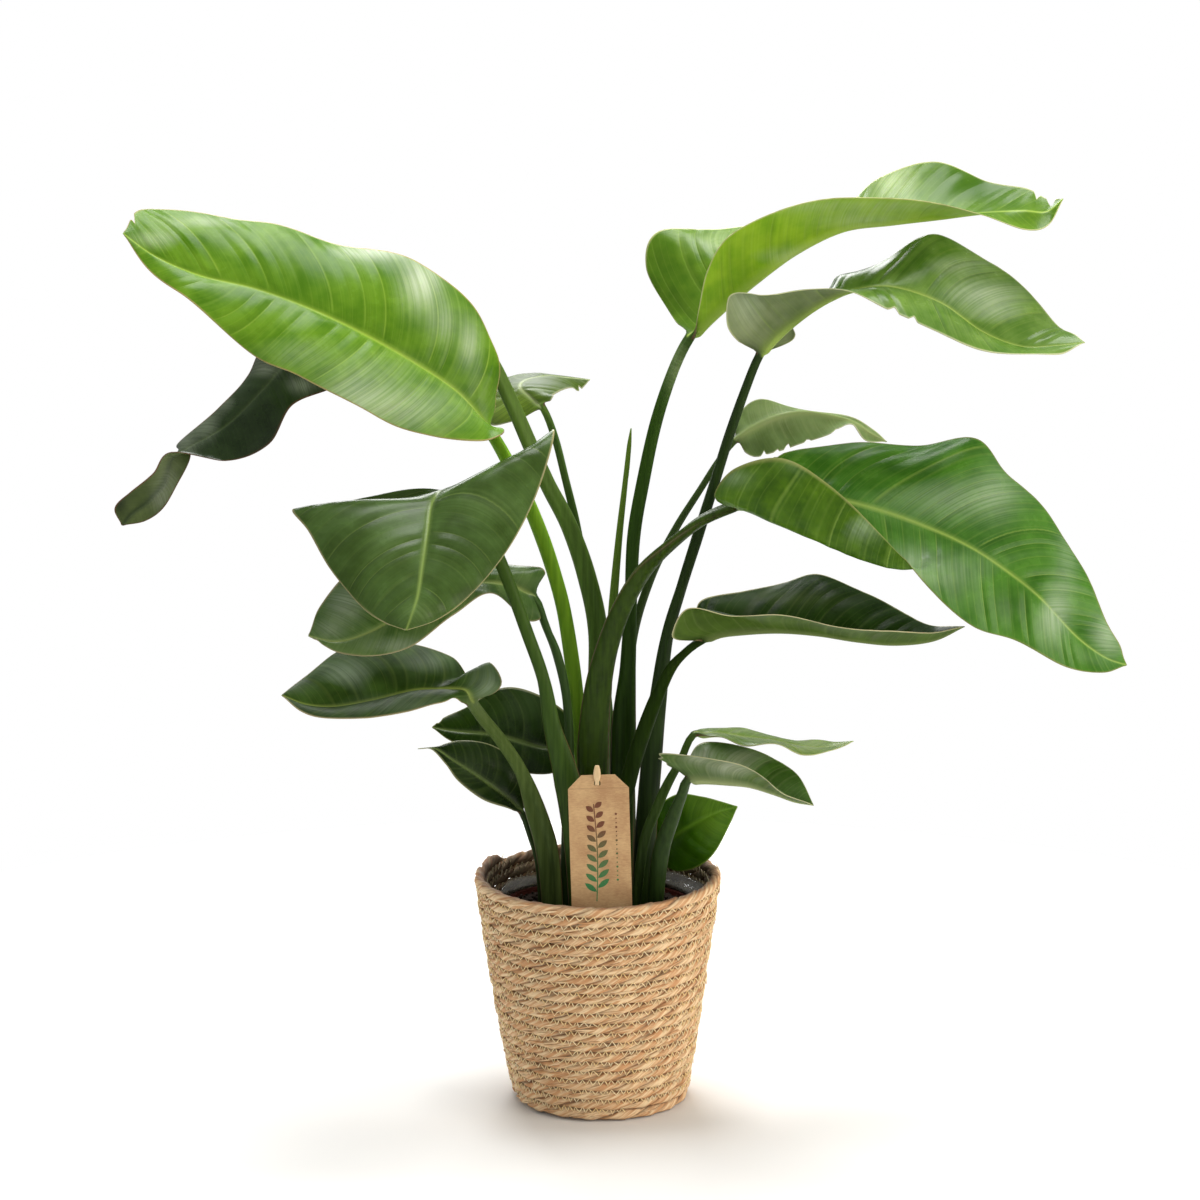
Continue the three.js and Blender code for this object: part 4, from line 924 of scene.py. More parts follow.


# %% [markdown]
# A stalk is painted darker toward its foot, as painted shade deep among the other stalks, with faint lengthwise
# streaks. Then stalk and blade come together: the midrib runs through both, the patches lay on painted highlights and
# painted shade, and the margin dries to a thin cream or brown line.

# %% Colour of a whole leaf
STALK_STRETCH = (300, 300, 9)


def leaf_colour(tree, at, look):
    # The foot's tone is painted shade: the stalk runs from dark at the soil to its own green at the top.
    stalk = add_node(
        tree, "MixRGB",
        {"Fac": at["along"], "Color1": linear(look["stalk"][0]), "Color2": linear(look["stalk"][1])},
    )
    stretched = add_node(tree, "VectorMath", {0: at["spot"], 1: STALK_STRETCH}, operation="MULTIPLY")
    fibres = add_node(tree, "TexNoise", {"Vector": stretched, "Scale": 1.0, "Detail": 2.0})
    fibre_share = add_node(tree, "MapRange", {"Value": fibres, "From Min": 0.3, "From Max": 0.7, "To Max": 0.4})
    # Painted highlights and painted shade from the patches; the painted highlight is broken into streaks along the
    # veins.
    broken = add_node(
        tree, "MapRange",
        {"Value": at["streaks"], "From Min": 0.38, "From Max": 0.62, "To Min": 0.7, "To Max": 1.2},
    )
    lit = add_node(tree, "Math", {0: at["patch"], 1: broken}, operation="MULTIPLY", use_clamp=True)
    shaded = add_node(tree, "Math", {0: at["patch"], 1: -1.0}, operation="MULTIPLY")
    margin = add_node(
        tree, "MixRGB", {"Fac": at["blade"], "Color1": linear(look["hem"]), "Color2": linear(look["rim"])},
    )
    layers = (
        (fibre_share, linear(look["stalk"][2])), (at["blade"], blade_colour(tree, at, look)),
        (at["rib"], linear(look["rib"])), (lit, linear(look["painted_light"])), (shaded, linear(look["deep"])),
        (at["rim"], margin),
    )
    tone = stalk
    for share, over in layers:
        tone = add_node(tree, "MixRGB", {"Fac": share, "Color1": tone, "Color2": over})
    return tone


# %% [markdown]
# Gloss and relief. The upper face is smoother than the lower. The arches between the veins are too shallow
# to model in full, so the shader bends the light once more along the same arches, and on the widest leaf
# the lower face is puckered like a real one.

# %% Gloss and relief of a leaf
STALK_ROUGHNESS = 0.42
PUCKER_MM = 11


def leaf_relief(tree, at, look):
    grain = add_node(tree, "Math", {0: at["streaks"], 1: at["blade"]}, operation="MULTIPLY")
    relief = add_node(tree, "Math", {0: at["line"], 1: 2.0, 2: grain}, operation="MULTIPLY_ADD")
    bump = add_node(tree, "Bump", {"Height": relief, "Strength": 0.2, "Distance": 0.25 * MM})
    arch = add_node(tree, "Math", {0: at["turn"], 1: math.pi}, operation="MULTIPLY")
    for operation in ("SINE", "ABSOLUTE"):
        arch = add_node(tree, "Math", {0: arch}, operation=operation)
    outward = add_node(tree, "Math", {0: at["face"], 1: 2.0, 2: -1.0}, operation="MULTIPLY_ADD")
    for factor in (at["hold"], outward):
        arch = add_node(tree, "Math", {0: arch, 1: factor}, operation="MULTIPLY")
    heights = [(arch, look["arch"])]
    if look["pucker"]:
        cells = add_node(tree, "TexNoise", {"Vector": at["spot"], "Scale": 1000 / PUCKER_MM, "Detail": 1.0})
        swollen = add_node(tree, "Math", {0: cells, 1: at["face"]}, operation="SUBTRACT", use_clamp=True)
        heights.append((swollen, look["pucker"]))
    for height, distance in heights:
        bump = add_node(
            tree, "Bump", {"Height": height, "Strength": 1.0, "Distance": distance * MM, "Normal": bump},
        )
    return bump


def leaf_gloss(tree, at, look):
    gloss = add_node(
        tree, "MapRange", {"Value": at["face"], "To Min": look["rough"][1], "To Max": look["rough"][0]},
    )
    duller = add_node(tree, "MapRange", {"Value": at["blade"], "To Min": STALK_ROUGHNESS, "To Max": gloss})
    uneven = add_node(tree, "Math", {0: at["clouds"], 1: 0.12, 2: duller}, operation="MULTIPLY_ADD")
    return uneven


# %% [markdown]
# Light also passes through a thin blade. Subsurface scattering of about the blade's thickness imitates
# that: green goes furthest, then red, and blue is soaked up.

# %% Leaf finish
LEAF_IOR = 1.45
SCATTER_MM = 0.9
SCATTER_REACH = (0.7, 1.0, 0.25)


def leaf_material(name, look):
    material, tree = new_material("waxy leaf " + name)
    at = leaf_grain(tree, look)
    return finish_material(material, add_node(tree, "BsdfPrincipled", {
        "Base Color": leaf_colour(tree, at, look), "Roughness": leaf_gloss(tree, at, look),
        "Normal": leaf_relief(tree, at, look), "IOR": LEAF_IOR, "Specular IOR Level": look["sheen"],
        "Subsurface Weight": look["through"], "Subsurface Scale": SCATTER_MM * MM, "Subsurface Radius": SCATTER_REACH,
    }))


# %% [markdown]
# Each leaf has its own age and light: young leaves are yellow-green, old ones deep green. The first hex of a face is
# its deep tone and the second its light one. A stalk has the tones of its foot, painted dark as painted shade, of its
# top and of its streaks. The painted highlight and the painted shade are the colours that a patch fades to, and the
# painted shade also darkens one flank of each arch.

# %% Colours of the leaves
LOOKS = {
    "leaf_01": {
        "upper": ["#4d7a12", "#6d9723"], "lower": ["#607d2c", "#748e3e"], "rib": "#9fbf47", "rim": "#b9a56c",
        "stalk": ["#314b08", "#68981a", "#91bd2c"], "painted_light": "#e2ecd2", "deep": "#41690f", "sheen": 0.14,
        "crests": 0.42,
    },
    "leaf_02": {
        "upper": ["#1d2d12", "#2d3e1f"], "lower": ["#435227", "#596839"], "rib": "#3b4a28", "rim": "#6a4a34",
        "stalk": ["#1a2d08", "#547026", "#698c35"], "painted_light": "#9aa38d", "deep": "#161f10", "crests": 0.12,
    },
    "leaf_03": {
        "upper": ["#354d0d", "#496017"], "lower": ["#49543e", "#59624d"], "rib": "#aab783", "rim": "#b9bb98",
        "stalk": ["#122006", "#405f23", "#5a7532"], "painted_light": "#8aa83c", "deep": "#3b4a2a", "sheen": 0.12,
        "crests": 0.15,
    },
    "leaf_04": {
        "upper": ["#384e1d", "#4b662f"], "lower": ["#434f29", "#535f35"], "rib": "#81984c", "rim": "#b3aa7c",
        "stalk": ["#162a06", "#3d581b", "#506e27"], "painted_light": "#718a52", "deep": "#344622", "veins": 0.05,
        "arch": 0.55, "crests": 0.3, "flank_shade": 0.6, "sheen": 0.15,
    },
    "leaf_05": {
        "upper": ["#426026", "#647e45"], "lower": ["#62644a", "#7c7a62"], "rib": "#97aa62", "rim": "#a59a72",
        "stalk": ["#111f06", "#304c1a", "#48642a"], "painted_light": "#98a68c", "deep": "#263a16", "crests": 0.15,
    },
    "leaf_06": {
        "upper": ["#263e0d", "#405d21"], "lower": ["#466318", "#638523"], "rib": "#8a9c4c", "rim": "#a59a72",
        "stalk": ["#1e2d0e", "#4a5d28", "#63753e"], "painted_light": "#8d9f86", "deep": "#182708", "crests": 0.1,
        "arch": 0.25, "sheen": 0.08, "rough": (0.38, 0.5),
    },
    "leaf_07": {
        "upper": ["#172b05", "#28400d"], "lower": ["#2e421c", "#3d5028"], "rib": "#6c7f44", "rim": "#8a8a5c",
        "stalk": ["#0e1805", "#273b14", "#3a4f20"], "painted_light": "#51663c", "deep": "#141f0a", "crests": 0.12,
    },
    "leaf_08": {
        "upper": ["#132306", "#20340b"], "lower": ["#2f401d", "#405229"], "rib": "#74874a", "rim": "#93946a",
        "stalk": ["#101c06", "#273b14", "#3a4f20"], "painted_light": "#5c7044", "deep": "#18220e", "crests": 0.12,
    },
    "leaf_09": {
        "upper": ["#517917", "#6a8f24"], "lower": ["#78a51e", "#99bf2e"], "rib": "#a8c654", "rim": "#c3c788",
        "stalk": ["#0c1c04", "#2f4e0d", "#41641a"], "painted_light": "#b9cd93", "deep": "#3b640f", "sheen": 0.14,
        "crests": 0.3,
    },
    "leaf_10": {
        "upper": ["#517826", "#739542"], "lower": ["#6a7a4c", "#828f64"], "rib": "#9bb456", "rim": "#ccd0a2",
        "stalk": ["#0e1f04", "#1f340a", "#365116"], "painted_light": "#bccbad", "deep": "#3a5820", "crests": 0.25,
    },
    "leaf_11": {
        "upper": ["#5c8430", "#7a9c48"], "lower": ["#667e42", "#859e62"], "rib": "#9aab6e", "rim": "#c5c9a4",
        "stalk": ["#0f1c05", "#39511c", "#4e6531"], "painted_light": "#a3b07c", "deep": "#4d6232", "veins": 0.25,
        "crests": 0.35,
    },
    "leaf_12": {
        "upper": ["#376a17", "#53882a"], "lower": ["#375c04", "#587f10"], "rib": "#9ab954", "rim": "#8c9152",
        "stalk": ["#1c3004", "#2b3f06", "#4a680f"], "painted_light": "#abc29c", "deep": "#2c5212", "pucker": 2.2,
        "crests": 0.42,
    },
    "leaf_13": {
        "upper": ["#223911", "#344d1e"], "lower": ["#3f551d", "#506828"], "rib": "#6d7c48", "rim": "#cfc99c",
        "stalk": ["#0a1904", "#1a2b04", "#2c430a"], "painted_light": "#6c7a48", "deep": "#1a2610", "veins": 0.2,
        "sheen": 0.06, "crests": 0.15,
    },
    "leaf_14": {
        "upper": ["#5b7c28", "#769138"], "lower": ["#7c9b4c", "#96b165"], "rib": "#a3b56c", "rim": "#b8bc8c",
        "stalk": ["#162709", "#3c561d", "#546c34"], "painted_light": "#a5b47c", "deep": "#4a6628", "veins": 0.25,
        "sheen": 0.1, "crests": 0.25,
    },
    "leaf_15": {
        "upper": ["#3c5c20", "#527334"], "lower": ["#49622c", "#5f7840"], "rib": "#94a06c", "rim": "#b3b48c",
        "stalk": ["#0d1e04", "#253c0f", "#3d5821"], "painted_light": "#b9bfa8", "deep": "#2c4216", "veins": 0.15,
        "crests": 0.2,
    },
    "leaf_16": {
        "upper": ["#2b5104", "#3c6906"], "lower": ["#315906", "#47750f"], "rib": "#648f24", "rim": "#86a048",
        "stalk": ["#112105", "#345311", "#4d6e26"], "painted_light": "#79a62c", "deep": "#2c480c", "veins": 0.05,
        "crests": 0.1, "flank_shade": 0.1, "arch": 0.3,
    },
}
print("looks for", len(LOOKS), "leaves")

# %% [markdown]
# The plain model sorts the leaves into four finishes. Each leaf takes the gloss of its group, because a pale leaf is
# duller than a deep green one.

# %% Slots and gloss of the leaves
# A slot's leaves, their roughness on the upper and the lower face, and the share of light let through
SLOTS = {
    "leaf_bright": (["leaf_01", "leaf_09", "leaf_14", "leaf_16"], (0.2, 0.45), 0.3),
    "leaf_green": (["leaf_04", "leaf_10", "leaf_12", "leaf_15"], (0.2, 0.45), 0.15),
    "leaf_dark": (["leaf_02", "leaf_05", "leaf_06", "leaf_07", "leaf_08", "leaf_13"], (0.22, 0.45), 0.06),
    "leaf_pale": (["leaf_03", "leaf_11"], (0.38, 0.5), 0.2),
}
print("slots:", ", ".join(SLOTS))

# %% [markdown]
# The patches are soft clouds of painted highlight and painted shade, placed where the blade looks paler or deeper:
# across, up, two radii, strength (negative is painted shade) and face (1 upper, 0 lower, None both).

# %% Patches of the leaves
LIGHT_AND_SHADE_PATCHES = {
    "leaf_01": [
        [-230, 895, 44, 9, 0.6, 1], [-180, 865, 19, 27, 0.6, 1], [-157, 822, 15, 21, 0.25, 1],
        [-449, 907, 25, 8, 0.3, 1], [-400, 924, 35, 6, 0.3, 1], [-323, 854, 62, 31, -0.25, 1],
        [-304, 887, 35, 21, -0.3, 1], [-395, 905, 27, 12, -0.3, 1], [-131, 799, 10, 23, 0.35, 1],
        [-234, 775, 42, 15, 0.12, 1], [-209, 734, 62, 23, 0.32, 1], [-253, 750, 35, 19, 0.22, 1],
        [-306, 791, 35, 17, 0.12, 1],
    ],
    "leaf_02": [
        [-341, 776, 14, 9, 0.45, 1], [-303, 758, 14, 9, 0.5, 1], [-385, 738, 15, 12, 0.3, 1],
        [-405, 717, 15, 14, 0.32, 1], [-425, 697, 12, 11, 0.25, 1], [-353, 722, 31, 26, -0.3, 1],
        [-444, 659, 12, 19, 0.3, 0], [-453, 639, 9, 12, 0.35, 0], [-494, 636, 8, 14, -0.7, None],
    ],
    "leaf_03": [[-88, 730, 27, 17, 0.95, None], [-51, 759, 25, 8, 0.2, 0]],
    "leaf_04": [
        [-226, 592, 36, 21, 0.15, 1], [-187, 521, 17, 11, 0.4, 1], [-112, 632, 36, 15, 0.2, 1],
        [-137, 592, 29, 23, -0.25, 1], [-261, 597, 23, 19, -0.25, 1],
    ],
    "leaf_05": [
        [-262, 530, 19, 17, 0.7, 1], [-279, 504, 15, 10, 0.45, 1], [-206, 486, 35, 8, 0.5, 1],
        [-232, 534, 10, 12, -0.3, 1],
    ],
    "leaf_06": [
        [-263, 456, 23, 14, 0.6, 1], [-175, 468, 27, 10, 0.35, 1], [-207, 449, 27, 8, -0.3, 1],
        [-280, 439, 17, 8, -0.3, 1], [-202, 422, 46, 9, 0.35, 1], [-116, 445, 16, 19, 0.45, None],
    ],
    "leaf_07": [[-82, 423, 31, 17, 0.3, 1], [-40, 385, 31, 21, -0.3, 1]],
    "leaf_08": [[-134, 353, 21, 17, 0.25, 1], [-98, 321, 21, 17, -0.3, 1]],
    "leaf_09": [
        [63, 899, 11, 31, -0.35, None], [123, 904, 31, 11, 0.4, 1], [147, 883, 31, 27, -0.2, 0],
        [217, 940, 73, 8, 0.3, 0], [201, 889, 52, 9, 0.45, 0], [265, 925, 42, 8, 0.4, 0], [300, 964, 27, 21, 0.9, 1],
        [383, 960, 52, 25, -0.9, 1], [324, 940, 62, 6, 0.35, None], [81, 777, 12, 27, 0.3, None],
    ],
    "leaf_10": [
        [152, 840, 19, 23, 0.35, 0], [202, 829, 25, 19, -0.35, 0], [392, 851, 35, 12, 0.6, 1],
        [411, 832, 31, 10, 0.4, 1], [358, 880, 42, 9, 0.4, 1], [313, 883, 35, 19, -0.3, 1],
        [348, 813, 52, 12, -0.25, 1], [457, 819, 31, 21, -0.25, 1],
    ],
    "leaf_11": [[177, 732, 27, 15, 0.35, 0], [165, 694, 17, 11, -0.45, 0], [230, 715, 37, 9, 0.25, 0]],
    "leaf_12": [
        [363, 641, 62, 21, 0.45, 1], [412, 647, 21, 26, 0.35, 1], [301, 672, 47, 17, -0.4, 1],
        [353, 567, 52, 17, 0.35, 1], [532, 498, 15, 23, 0.6, 1], [487, 579, 12, 42, 0.3, 1],
        [141, 662, 17, 8, 0.3, 0], [208, 678, 21, 8, 0.2, 0], [224, 622, 42, 15, -0.4, 0], [272, 611, 19, 12, 0.5, 0],
        [474, 519, 15, 27, 0.7, 1], [437, 536, 27, 21, -0.35, 1], [319, 576, 23, 15, 0.35, 1],
    ],
    "leaf_13": [[210, 536, 42, 9, 0.3, 1], [148, 521, 31, 9, -0.3, 1]],
    "leaf_15": [
        [104, 367, 14, 7, 0.5, None], [139, 356, 23, 8, 0.55, None], [157, 370, 29, 7, 0.4, None],
        [193, 344, 21, 12, -0.35, None], [112, 375, 10, 6, 0.2, None],
    ],
    "leaf_14": [[224, 379, 21, 7, 0.4, None]],
    "leaf_16": [[127, 303, 16, 26, 0.5, None], [84, 276, 15, 31, -0.6, None], [104, 321, 23, 37, 0.45, None]],
}
print("patches:", sum(map(len, LIGHT_AND_SHADE_PATCHES.values())))

# %% [markdown]
# Now every leaf grows: rings from its sightings, patches, a finish of its own, and the piece takes the place
# of its plain solid. Values that most leaves share are given once, and a leaf's own look overrides them.

# %% Grow the sixteen leaves
COMMON_LOOK = {
    "veins": 0.13, "crests": 0.55, "flank_shade": 0.35, "arch": 0.8, "hem": "#5a3f2c", "sheen": 0.21, "pucker": 0.0,
}
for slot, (names, rough, through) in SLOTS.items():
    for name in names:
        look = {**COMMON_LOOK, "rough": rough, "through": through, **LOOKS[name]}
        points, skin = leaf_rings(LEAVES[name], int(name[-2:]))
        paint_patches(points, skin, LIGHT_AND_SHADE_PATCHES.get(name, ()))
        add_piece(
            name + "_grown", points.reshape(-1, 3), leaf_faces(*points.shape[:2]), leaf_material(name, look),
            name, skin,
        )

# %% [markdown]
# The spear is the newest leaf, still rolled. It is a slender tube whose free edge runs up it as a fine
# step, so its section is a spiral rather than a circle.

# %% Spear
SPEAR_FOOT = [4, 21, 9, 9]
SPEAR_ROWS = [
    [6, 320, 22, 10], [10, 440, 22, 10], [16, 530, 21, 10], [22, 600, 20, 8], [28, 655, 19, 6.5], [32, 695, 18, 5],
    [34, 713, 18, 1.5],
]
SPEAR_STATION = 6
SPEAR_HEIGHT = 500
SPEAR_SIDES = 28
SPEAR_STEP_MM = 0.9
SPEAR_TURNS = 1.3


def spear_rings():
    mid = np.vstack([[SPEAR_FOOT[0], SPEAR_FOOT[1], SOIL_TOP], sighted([row[:3] for row in SPEAR_ROWS])])
    rows = even_rows(mid, SPEAR_STATION, len(SPEAR_ROWS))
    centre = curve_at(mid, rows)
    width = np.interp(rows, np.arange(len(SPEAR_ROWS) + 1), [SPEAR_FOOT[2]] + [row[3] for row in SPEAR_ROWS])
    angle = 2 * np.pi * (np.arange(SPEAR_SIDES) + 0.5) / SPEAR_SIDES
    seam = 2 * np.pi * SPEAR_TURNS * rows / rows[-1]
    inward = SPEAR_STEP_MM * (((angle[None, :] + seam[:, None]) / (2 * np.pi)) % 1) * (width / width.max())[:, None]
    radius = width[:, None] / 2 - inward
    rings = np.stack([
        centre[:, :1] + radius * np.cos(angle), centre[:, 1:2] + radius * np.sin(angle),
        centre[:, 2:] + np.zeros((len(rows), SPEAR_SIDES)),
    ], -1)
    foot = rings[:1] - np.array([0, 0, FOOT_DEPTH])
    points = np.concatenate([foot, rings])
    skin = {mark: np.zeros(points.shape) for mark in ("place", "marks", "tone")}
    skin["place"][..., 0] = points[..., 2]
    skin["marks"][..., 2] = 1
    skin["tone"][..., 0] = np.clip((points[..., 2] - SOIL_TOP) / SPEAR_HEIGHT, 0, 1)
    return points, skin


SPEAR_LOOK = {
    "upper": ["#5f8a2c", "#83a548"], "lower": ["#5f8a2c", "#83a548"], "rib": "#a5bd62", "rim": "#a5bd62",
    "stalk": ["#2f4c10", "#5c7c22", "#7c9a3a"], "painted_light": "#a3b86c", "deep": "#48661f", "hem": "#a5bd62",
    "veins": 0.05, "crests": 0.0, "flank_shade": 0.0, "arch": 0.0, "pucker": 0.0, "sheen": 0.18, "rough": (0.32, 0.5),
    "through": 0.15,
}
points, skin = spear_rings()
add_tube("spear_grown", points, leaf_material("spear", SPEAR_LOOK), "spear", skin)

# %% [markdown]
# The basket is one long rope. Two bundles of dried seagrass are twisted loosely round each other, and the
# rope is coiled from the middle of the floor outward and up the wall, each coil sewn to the one below.
# So the rope's own path is made first, as a spiral that turns into a climbing coil, and everything else of
# the basket follows it: both bundles, the sewing thread and the loose ends.

# %% Sizes of the basket
BASKET_HEIGHT = 241
BASE_RADIUS = 92
RIM_RADIUS = 130
FLARE_POWER = 0.85
ROPE_DIAMETER = 12
ROPE_RADIUS = ROPE_DIAMETER / 2
COIL_ROWS = 22
COIL_PITCH = (BASKET_HEIGHT - ROPE_DIAMETER) / (COIL_ROWS - 1)
FLOOR_TURNS = 7.4
END_DEGREES = 142
END_ANGLE = math.radians(END_DEGREES)
ROPE_STEP = 3.6
WALL_MEAN_RADIUS = 105
FLOOR_MEAN_RADIUS = 50
# How much higher or lower than an even coil the rim runs, by the angle round the basket
RIM_SWAY_ANGLES = [-218, -180, -135, -90, -45, 0, 90, END_DEGREES]
RIM_SWAY_MM = [5.5, -1.3, -5.0, -4.6, 0.3, 6.2, 8.9, 5.5]
FOOT_SHIFT = 2.5
FOOT_SHIFT_BELOW = 150
UNEVEN_OUT = 0.9
UNEVEN_UP = 0.95
OVERLAP = 0.35
print("from coil to coil:", round(COIL_PITCH, 2), "mm")

# %% [markdown]
# A basket coiled by hand is never quite even. Slow waves move the coils in and out and up and down by less
# than a millimetre, and the rim rises and falls round the basket.

# %% Path of the rope


def slow_noise(values, period, seed):
    """Smooth wander between -1 and 1 along a length."""
    turns = 2 * np.pi * values / period
    waves = ((1, 1, 1, 0), (0.7, 1.73, 2.1, 1), (0.5, 3.11, 3.7, 2))
    return sum(size * np.sin(pace * turns + times * seed + start) for size, pace, times, start in waves) / 2.2


def basket_radius(height):
    share = np.clip(height, 0, None) / (BASKET_HEIGHT - ROPE_RADIUS)
    return BASE_RADIUS + (RIM_RADIUS - BASE_RADIUS) * share ** FLARE_POWER


def wall_path(turns, outward=0.0, upward=0.0):
    """Places on the coil after so many turns, moved out from and up along the wall."""
    angle = END_ANGLE - 2 * np.pi * turns
    even = ROPE_RADIUS + COIL_PITCH * (turns - 0.5)
    even = np.where(turns < 0.5, ROPE_RADIUS, even)
    degrees = np.degrees((angle + np.pi) % (2 * np.pi) - np.pi)
    degrees = np.where(degrees > END_DEGREES, degrees - 360, degrees)
    sway = np.interp(degrees, RIM_SWAY_ANGLES, RIM_SWAY_MM)
    lift = smoothstep(turns, 0.0, 0.8)
    height = even + sway * (np.clip(even, 0, None) / BASKET_HEIGHT) ** 3 * lift + upward
    tight = smoothstep(turns, 0.0, 1.0)
    radius = basket_radius(even) - ROPE_RADIUS + outward + UNEVEN_OUT * tight * slow_noise(turns, 0.37, 2.0)
    height = height + UNEVEN_UP * tight * slow_noise(turns, 0.61, 4.0)
    shift = FOOT_SHIFT * np.clip(1 - height / FOOT_SHIFT_BELOW, 0, 1)
    return np.stack([radius * np.cos(angle) + shift, radius * np.sin(angle), height], -1)


def half_way(turns, step):
    """Half the height from a coil to the next one above (step 1) or below (step -1)."""
    way = np.abs(wall_path(turns + step)[:, 2] - wall_path(turns)[:, 2]) / 2
    there = (turns + step > 0.5) & (turns + step < COIL_ROWS)
    return np.where(there, np.clip(way, 4.0, 7.0), COIL_PITCH / 2) + OVERLAP


def rope_path():
    wall_turns = np.arange(0, COIL_ROWS, ROPE_STEP / (2 * np.pi * WALL_MEAN_RADIUS))
    floor_turns = np.arange(-FLOOR_TURNS, 0, ROPE_STEP / (2 * np.pi * FLOOR_MEAN_RADIUS))
    radius = (basket_radius(0.0) - ROPE_RADIUS) * (1 + floor_turns / (FLOOR_TURNS + 0.5))
    angle = END_ANGLE - 2 * np.pi * floor_turns
    spiral = np.stack([radius * np.cos(angle) + FOOT_SHIFT, radius * np.sin(angle), 0 * angle + ROPE_RADIUS], -1)
    flat = np.full(len(floor_turns), COIL_PITCH / 2 + OVERLAP)
    return (
        np.concatenate([spiral, wall_path(wall_turns)]),
        np.concatenate([flat, half_way(wall_turns, 1)]), np.concatenate([flat, half_way(wall_turns, -1)]),
    )


path, half_above, half_below = rope_path()
steps = np.linalg.norm(np.diff(path, axis=0), axis=1)
along_rope = np.concatenate([[0], np.cumsum(steps)])
print("rope of", round(along_rope[-1] / 1000, 1), "m in", len(path), "steps")

# %% [markdown]
# One bundle of grass winds round the path at a slow twist. Its section isn't round: several flat blades of
# grass lie side by side, so it has ridges that run along it and drift slowly round, and it swells and
# thins as hand-twisted grass does.

# %% Bundles of seagrass
LAY_LENGTH = 60
BUNDLE_RADIUS = 4.1
BUNDLE_OFFSET = 2.0
BUNDLE_SIDES = 11
BLADE_RIDGES = 4
RIDGE_HEIGHT = 0.07
END_TAPER = 34
END_DIP = 5
FLOOR_CLEARANCE = 0.3


def bundle_rings(phase, seed):
    tangent = unit(np.gradient(path, axis=0))
    outward = path * np.array([1, 1, 0])
    outward = unit(outward - tangent * (outward * tangent).sum(1, keepdims=True))
    up = np.cross(tangent, outward)
    up *= np.sign(up[:, 2:])
    twist = -2 * np.pi * along_rope / LAY_LENGTH + phase + 0.5 * slow_noise(along_rope, 260, seed)
    offset = BUNDLE_OFFSET * (1 + 0.12 * slow_noise(along_rope, 90, seed + 3))
    centre = path + offset[:, None] * (outward * np.cos(twist)[:, None] + up * np.sin(twist)[:, None])
    angle = 2 * np.pi * np.arange(BUNDLE_SIDES) / BUNDLE_SIDES
    radius = BUNDLE_RADIUS * (1 + 0.11 * slow_noise(along_rope, 58, seed + 5))
    tucked = 1 - smoothstep(along_rope[-1] - along_rope, 0, END_TAPER)
    radius = radius * (1 - 0.75 * tucked ** 2)
    centre = path + (centre - path) * (1 - tucked)[:, None] - up * (END_DIP * tucked ** 2)[:, None]
    around = angle[None, :] + twist[:, None]
    ridge = 1 + RIDGE_HEIGHT * np.cos(BLADE_RIDGES * angle[None, :] + 0.02 * along_rope[:, None] + seed)
    flat = 1 - 0.10 * np.cos(2 * (angle[None, :]))
    reach = radius[:, None] * ridge * flat
    rings = centre[:, None] + reach[..., None] * (
        outward[:, None] * np.cos(around)[..., None] + up[:, None] * np.sin(around)[..., None]
    )
    # The sewing presses the coils flat against each other
    above = ((rings - path[:, None]) * up[:, None]).sum(-1, keepdims=True)
    tallest = offset * np.abs(np.sin(twist)) * (1 - tucked) + radius
    room = np.where(above[..., 0] > 0, half_above[:, None], half_below[:, None])
    pressed = room / np.maximum(tallest, BUNDLE_RADIUS)[:, None]
    rings = rings + up[:, None] * above * (pressed - 1)[..., None]
    above = above[..., 0] * pressed / room
    rings[..., 2] = np.maximum(rings[..., 2], FLOOR_CLEARANCE)
    grass = np.stack(
        np.broadcast_arrays(along_rope[:, None], 3 * np.cos(angle) + 10 * seed, 3 * np.sin(angle)), -1,
    )
    # The shade mark: painted shade in the grooves between bundles and coils, and painted shade on the inside of the
    # wall.
    inner = smoothstep(-((rings - path[:, None]) * outward[:, None]).sum(-1), -1.0, 5.0)
    depth = np.linalg.norm(rings - path[:, None], axis=2)
    groove = 1 - smoothstep(np.abs(above), 0.62, 0.92) * 0.8
    shade = np.stack([smoothstep(depth, 2.8, 5.0) * groove, inner, np.zeros_like(depth)], -1)
    return rings, grass, shade


# %% [markdown]
# Dried seagrass is matte and straw-coloured, every blade a little different: some greyish, some orange brown, with fine
# darker lines along the blade. The noise is stretched along the rope, so its streaks lie as the fibres do. Where the
# bundles press together the grass is painted darker, as painted shade in the grooves, and the inside of the wall is
# painted deeper still, as painted shade.

# %% Finish of seagrass
BLADE_STRETCH = (0.022, 0.42, 0.42)
FIBRE_STRETCH = (0.12, 1.6, 1.6)
GROOVE_SHADE_COLOUR = "#57341b"
INSIDE_SHADE_COLOUR = "#2f2013"


